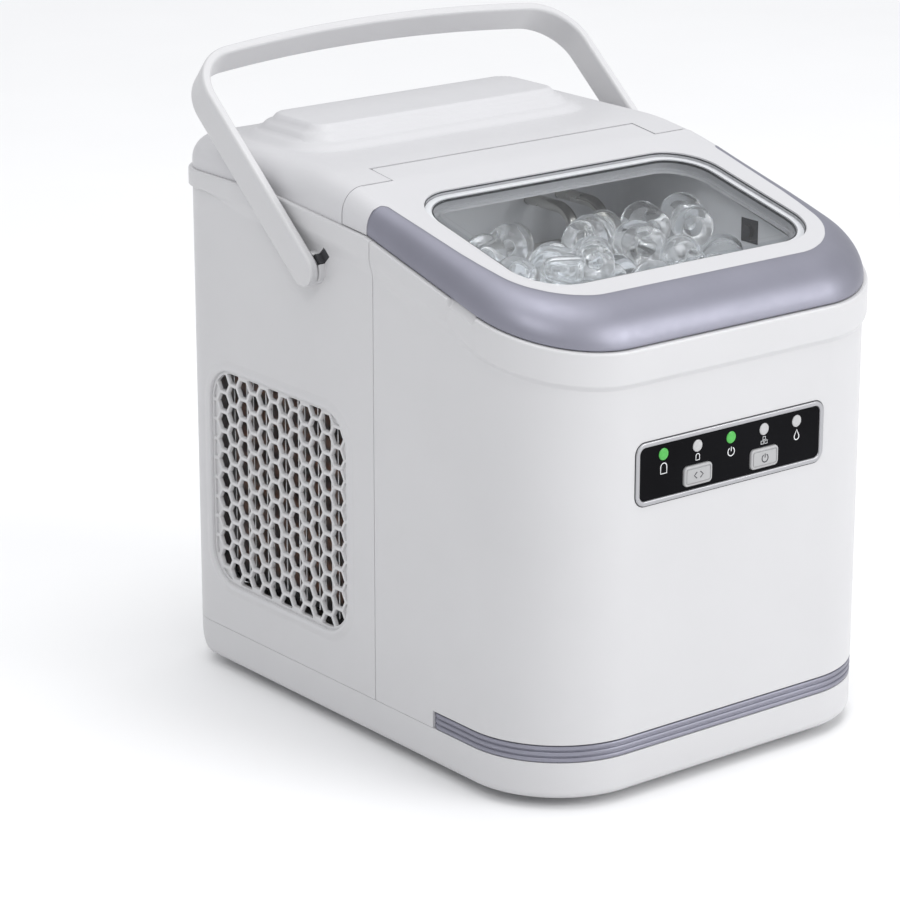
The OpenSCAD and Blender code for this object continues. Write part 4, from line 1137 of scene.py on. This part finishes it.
def gaps(p, d, stock):
    """Distance from the middle line p+-d to each of the stock's middle lines."""
    ts = np.linspace(-1, 1, 5)
    a = p + ts[:, None] * d
    q, e, ee, _ = stock
    u = np.clip(((a[:, None, :] - q[None]) * e[None]).sum(2) / ee[None], -1, 1)
    near = q[None] + u[..., None] * e[None]
    return np.sqrt(((a[:, None, :] - near) ** 2).sum(2)).min(0)


def stock_of(pieces):
    """Middles, half lines, their squared lengths and radii of the pieces placed so far."""
    e = np.array([c[1] for c in pieces])
    return (np.array([c[0] for c in pieces]), e, np.maximum((e * e).sum(1), 1e-9), np.array([c[2] for c in pieces]))


def clear(x, y, z, d, radius, stock, squeeze=0.95):
    return stock is None or not (gaps(np.array([x, y, z]), d, stock) < (stock[3] + radius) * squeeze).any()


def lowest(x, y, ext):
    """Height a piece can sink to: the bin's floor, its rim or the parts behind it."""
    if abs(x) + ext[0] <= BIN_X and y + ext[1] <= BIN_REAR:
        return BIN_FLOOR + ext[2]
    return (SHELF if y + ext[1] <= LEDGE_FRONT else LEDGE) + ext[2]


def settle(x, y, z, ext, d, radius, stock):
    """Lowest clear height straight below z."""
    low = lowest(x, y, ext)
    step = 4.0
    while z > low:
        nz = max(low, z - step)
        if clear(x, y, nz, d, radius, stock):
            z = nz
        elif step <= 0.5:
            break
        else:
            step /= 2
    return z


def around(axis, scatter):
    """A direction scattered about the axis."""
    v = axis + np.array([rng.gauss(0, scatter), rng.gauss(0, scatter), rng.gauss(0, scatter)])
    return v / np.linalg.norm(v)


def headroom(mid, axis, half_len, radius):
    """How far the piece stays under the lid's limit."""
    normal = np.array([0.0, -0.24, 1.0])
    v = (mid[1] - 5.0) / cos(SLOPE)
    du = abs(mid[0]) - (WIN_HALF - WIN_R)
    dv = abs(v - (WIN_FRONT + WIN_REAR) / 2) - ((WIN_REAR - WIN_FRONT) / 2 - WIN_R)
    inside = WIN_R - 7.7 - (hypot(du, dv) if du > 0 and dv > 0 else max(du, dv))
    reach_out = radius + abs(hypot(axis[0], axis[1])) * (half_len - radius * 0.8)
    limit = 268.4 - (ROOM_PANE if inside > reach_out else ROOM_RIM) / cos(SLOPE)
    lip = mid - axis * (half_len - 0.9)
    dome = mid + axis * (half_len - 0.92 * radius)
    tilt_out = sqrt(max(0.0, normal @ normal - (normal @ axis) ** 2))
    return limit - max(lip @ normal + radius * tilt_out, dome @ normal + radius * 1.03)


placed = []
fails = 0
MOST_PIECES, MOST_FAILS, TRIES, LYING_FIRST, NESTLE_TRIES = 120, 20, 12, 34, 5000
while len(placed) < MOST_PIECES and fails < MOST_FAILS:
    stock = stock_of(placed) if placed else None
    best = None
    for _ in range(TRIES):
        radius = rng.uniform(10.4, 11.8)
        length = rng.uniform(23.0, 27.0)
        in_basket = len(placed) < LYING_FIRST
        if in_basket:
            tilt, aim = rng.uniform(-0.5, 0.5), rng.uniform(0, 2 * pi)
            axis = np.array([cos(tilt) * cos(aim), cos(tilt) * sin(aim), sin(tilt)])
        else:
            axis = around(AWAY, 0.40)
            if rng.random() < 0.3:
                axis = -axis
        d = axis * (length / 2 - radius * 0.8)
        ext = np.abs(d) + radius
        side, rear = (BIN_X, BIN_REAR) if in_basket else (HEAP_X, HEAP_REAR)
        x = rng.uniform(-side + ext[0], side - ext[0])
        y = rng.uniform(BIN_FRONT + ext[1], rear - ext[1])
        z = settle(x, y, 255.0, ext, d, radius, stock)
        if z > 254:
            continue
        span = 8.0
        for _ in range(TRIES):
            nx = min(side - ext[0], max(-side + ext[0], x + rng.gauss(0, span)))
            ny = min(rear - ext[1], max(BIN_FRONT + ext[1], y + rng.gauss(0, span)))
            span *= 0.85
            if z >= lowest(nx, ny, ext) and clear(nx, ny, z, d, radius, stock):
                nz = settle(nx, ny, z, ext, d, radius, stock)
                if nz < z:
                    x, y, z = nx, ny, nz
        if headroom(np.array([x, y, z]), axis, length / 2, radius) < 0:
            continue
        if best is None or z < best[0]:
            best = (z, x, y, d, radius, axis, length)
    if best is None:
        fails += 1
        continue
    fails = 0
    z, x, y, d, radius, axis, length = best
    placed.append((np.array([x, y, z]), d, radius, axis, length))
# the last ones nestle into what room is left under the lid
for _ in range(NESTLE_TRIES):
    radius, length = rng.uniform(10.0, 11.4), rng.uniform(20.0, 24.0)
    axis = around(AWAY, 0.35)
    d = axis * (length / 2 - radius * 0.8)
    ext = np.abs(d) + radius
    x = rng.uniform(-HEAP_X + ext[0], HEAP_X - ext[0])
    y = rng.uniform(-92 + ext[1], HEAP_REAR - ext[1])
    z = 230.0 + headroom(np.array([x, y, 230.0]), axis, length / 2, radius) - rng.uniform(0.05, 4.0)
    stock = stock_of(placed)
    low = lowest(x, y, ext)
    if z < low or not clear(x, y, z, d, radius, stock, 0.86):
        continue
    if z - 12 < low or not clear(x, y, z - 12, d, radius, stock):
        placed.append((np.array([x, y, z]), d, radius, axis, length))
ice = Mesh()
for mid, _, radius, axis, length in placed:
    ice_piece(ice, mid, axis, radius * 0.965, length, radius * rng.uniform(0.44, 0.54), length * 0.68)
finish(ice.object("ice_pieces"), "basket", ICE, sharp=80, weighted=False)

# ---- floor and light
FLOOR_HALF = 40000
corners = [(sx * FLOOR_HALF, sy * FLOOR_HALF, 0) for sx, sy in ((-1, -1), (1, -1), (1, 1), (-1, 1))]
floor = Mesh().add(corners, [[0, 1, 2, 3]]).object("floor", True)
FLOOR = material("floor_paper", (0.86, 0.86, 0.865), 0.01, (0.6, 0.75), grain=200, bump=0.02, cloud=3)
floor.data.materials.append(FLOOR)

world = bpy.data.worlds.new("studio")
world.use_nodes = True
feed(world.node_tree, world.node_tree.nodes["Background"], {"Color": (0.97, 0.98, 1.0, 1), "Strength": 0.73})
scene.world = world


def softbox(name, at, target, size, power):
    data = bpy.data.lights.new(name, "AREA")
    data.shape = "RECTANGLE"
    data.size = data.size_y = size
    data.energy = power
    ob = bpy.data.objects.new(name, data)
    ob.location = at
    ob.rotation_euler = (Vector(target) - Vector(at)).to_track_quat("-Z", "Y").to_euler()
    scene.collection.objects.link(ob)


softbox("key", (1.1, -2.1, 1.1), (0, 0, 0.15), 1.5, 31)
softbox("corner", (-1.25, -0.95, 1.55), (-0.08, -0.09, 0.25), 0.7, 7.5)
softbox("overhead", (0.15, -0.25, 2.1), (0, -0.03, 0.2), 0.8, 6.5)
above = bpy.data.lights.new("above", "SUN")
above.energy = 0.82
above.angle = radians(70)
above_ob = bpy.data.objects.new("above", above)
above_ob.rotation_euler = (radians(-8), radians(6), 0)
scene.collection.objects.link(above_ob)
scene.view_settings.view_transform = "Standard"
